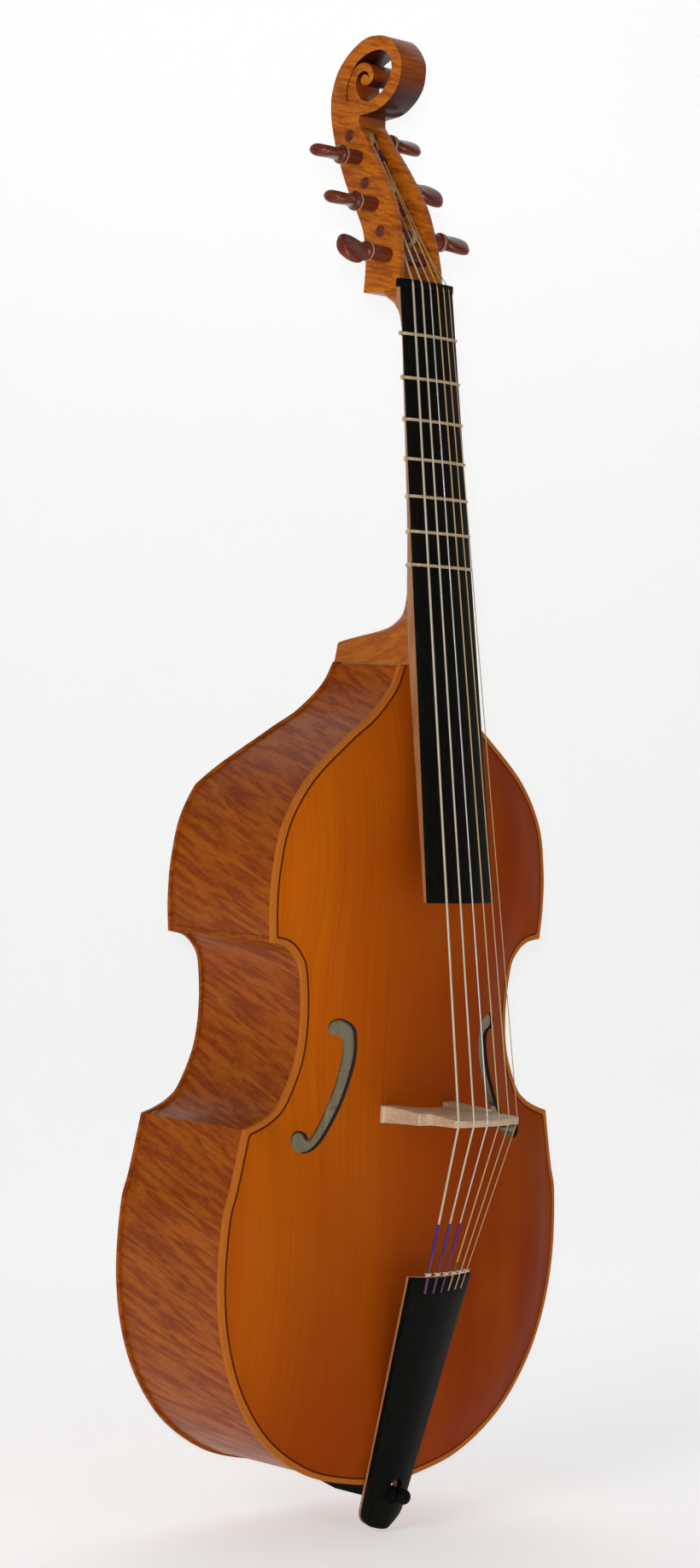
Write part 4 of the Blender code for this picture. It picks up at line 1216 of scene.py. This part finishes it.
def make_hook(ebony):
    side = [(106, -5.9), (106, -10), (50, -21), (-19.5, -21), (-19.5, -9), (5, -9), (5, -5.9)]
    bar = outline_object("tail_hook", np.array(side) * MM, lambda u, v, w: Vector((6 * MM * w, u, v)))
    round_edges(bar, 1.2 * MM, 3, 40)
    piece(bar, ROOT, ebony, ["hook_bar"], 35)
    profile = smooth_line([(0, 10), (3.4, 9.4), (5.9, 7), (6.6, 4), (5.9, 1.2), (4.2, 0), (0, 0)], 4)
    knob = turned_solid("tail_knob", profile)
    knob.matrix_world = Matrix.Translation((0, -19.8 * MM, -15 * MM)) @ Matrix.Rotation(pi / 2, 4, "X")
    piece(knob, ROOT, ebony, ["hook_knob"], 40)


def inner_parts(raw):
    """The parts inside the body keep their CAD shape and take bare wood."""
    shown = [n for n in frame["nodes"] if n.startswith(("corner_block", "back_brace", "soundpost"))]
    for name in [*shown, "end_block", "top_block", "bass_bar"]:
        mesh = frame["nodes"][name].data
        mesh.materials.clear()
        mesh.materials.append(raw)


make_camera()
make_light()
make_backdrop()
stain = plain_material("dark_stain", (0.020, 0.011, 0.005), 0.7)
spruce = spruce_material()
raw = bare_wood_material("inner_wood", (0.84, 0.74, 0.52), (0.68, 0.57, 0.37), (300, 300, 10), 0.6)
rib_pale, rib_dark = (0.34, 0.080, 0.006), (0.165, 0.021, 0.002)
rib_maple = maple_material("rib_maple", rib_pale, rib_dark, "grain", (180, 22, 22), (0, 0, 0.36), 0.7)
back_maple = maple_material("back_maple", rib_pale, rib_dark, None, (22, 22, 180), (0, 0.2, 0), 0.7)
head_pale, head_dark = (0.55, 0.155, 0.010), (0.27, 0.050, 0.005)
head_grain = (14, 40, 270)
# The head's maple carries the scroll's painted shade.
head_maple = maple_material("head_maple", head_pale, head_dark, None, head_grain, (-0.22, 0, 0), 0.8, True)
neck_pale, neck_dark = (0.44, 0.13, 0.016), (0.26, 0.055, 0.009)
neck_maple = maple_material("neck_maple", neck_pale, neck_dark, None, (14, 22, 150), (0.25, 0, 0), 0.6)
core_wood = bare_wood_material("core_maple", (0.40, 0.18, 0.070), (0.30, 0.11, 0.035), (200, 200, 14), 0.5)
bridge_pale, bridge_dark = (0.58, 0.41, 0.27), (0.44, 0.29, 0.17)
bridge_wood = bare_wood_material("bridge_maple", bridge_pale, bridge_dark, (60, 500, 500))
ebony = ebony_material()
peg_wood = peg_material()
ring_wood = bare_wood_material("ring_wood", (0.50, 0.30, 0.18), (0.38, 0.2, 0.1), (300, 300, 300), 0.4)
gut = string_material("gut", (0.55, 0.36, 0.17), (0.38, 0.23, 0.10), 0.0, 3.2 * MM, 0.3)
fret_gut = bare_wood_material("fret_gut", (0.60, 0.47, 0.30), (0.45, 0.32, 0.18), (300, 300, 300), 0.35)
wound = string_material("wound", (0.62, 0.56, 0.42), (0.38, 0.33, 0.23), 0.45, 0.7 * MM, 0.35)
silver = string_material("silver", (0.66, 0.62, 0.60), (0.40, 0.37, 0.36), 0.9, 0.7 * MM, 0.25)
cream = string_material("cream_cord", (0.70, 0.58, 0.42), (0.52, 0.40, 0.27), 0.0, 0.9 * MM, 0.6)
silk = string_material("purple_silk", (0.045, 0.012, 0.20), (0.02, 0.006, 0.09), 0.0, 0.8 * MM, 0.6)
dark_silk = string_material("dark_silk", (0.11, 0.03, 0.12), (0.04, 0.01, 0.05), 0.0, 1.2 * MM, 0.6)
green = string_material("green_silk", (0.03, 0.12, 0.04), (0.015, 0.06, 0.02), 0.0, 0.8 * MM, 0.6)
make_belly(spruce, raw, stain)
make_back(back_maple, raw)
make_ribs(rib_maple, raw)
make_neck(neck_maple)
make_fingerboard(ebony, core_wood)
make_nut(ebony)
make_frets(fret_gut)
make_head(head_maple)
make_pegs(peg_wood, ring_wood, [wound, gut, wound, gut, silk, gut])
make_strings([wound, wound, silver, gut, gut, gut], (silk, dark_silk, green), cream)
make_bridge(bridge_wood)
make_tailpiece(ebony, core_wood)
make_hook(ebony)
inner_parts(raw)
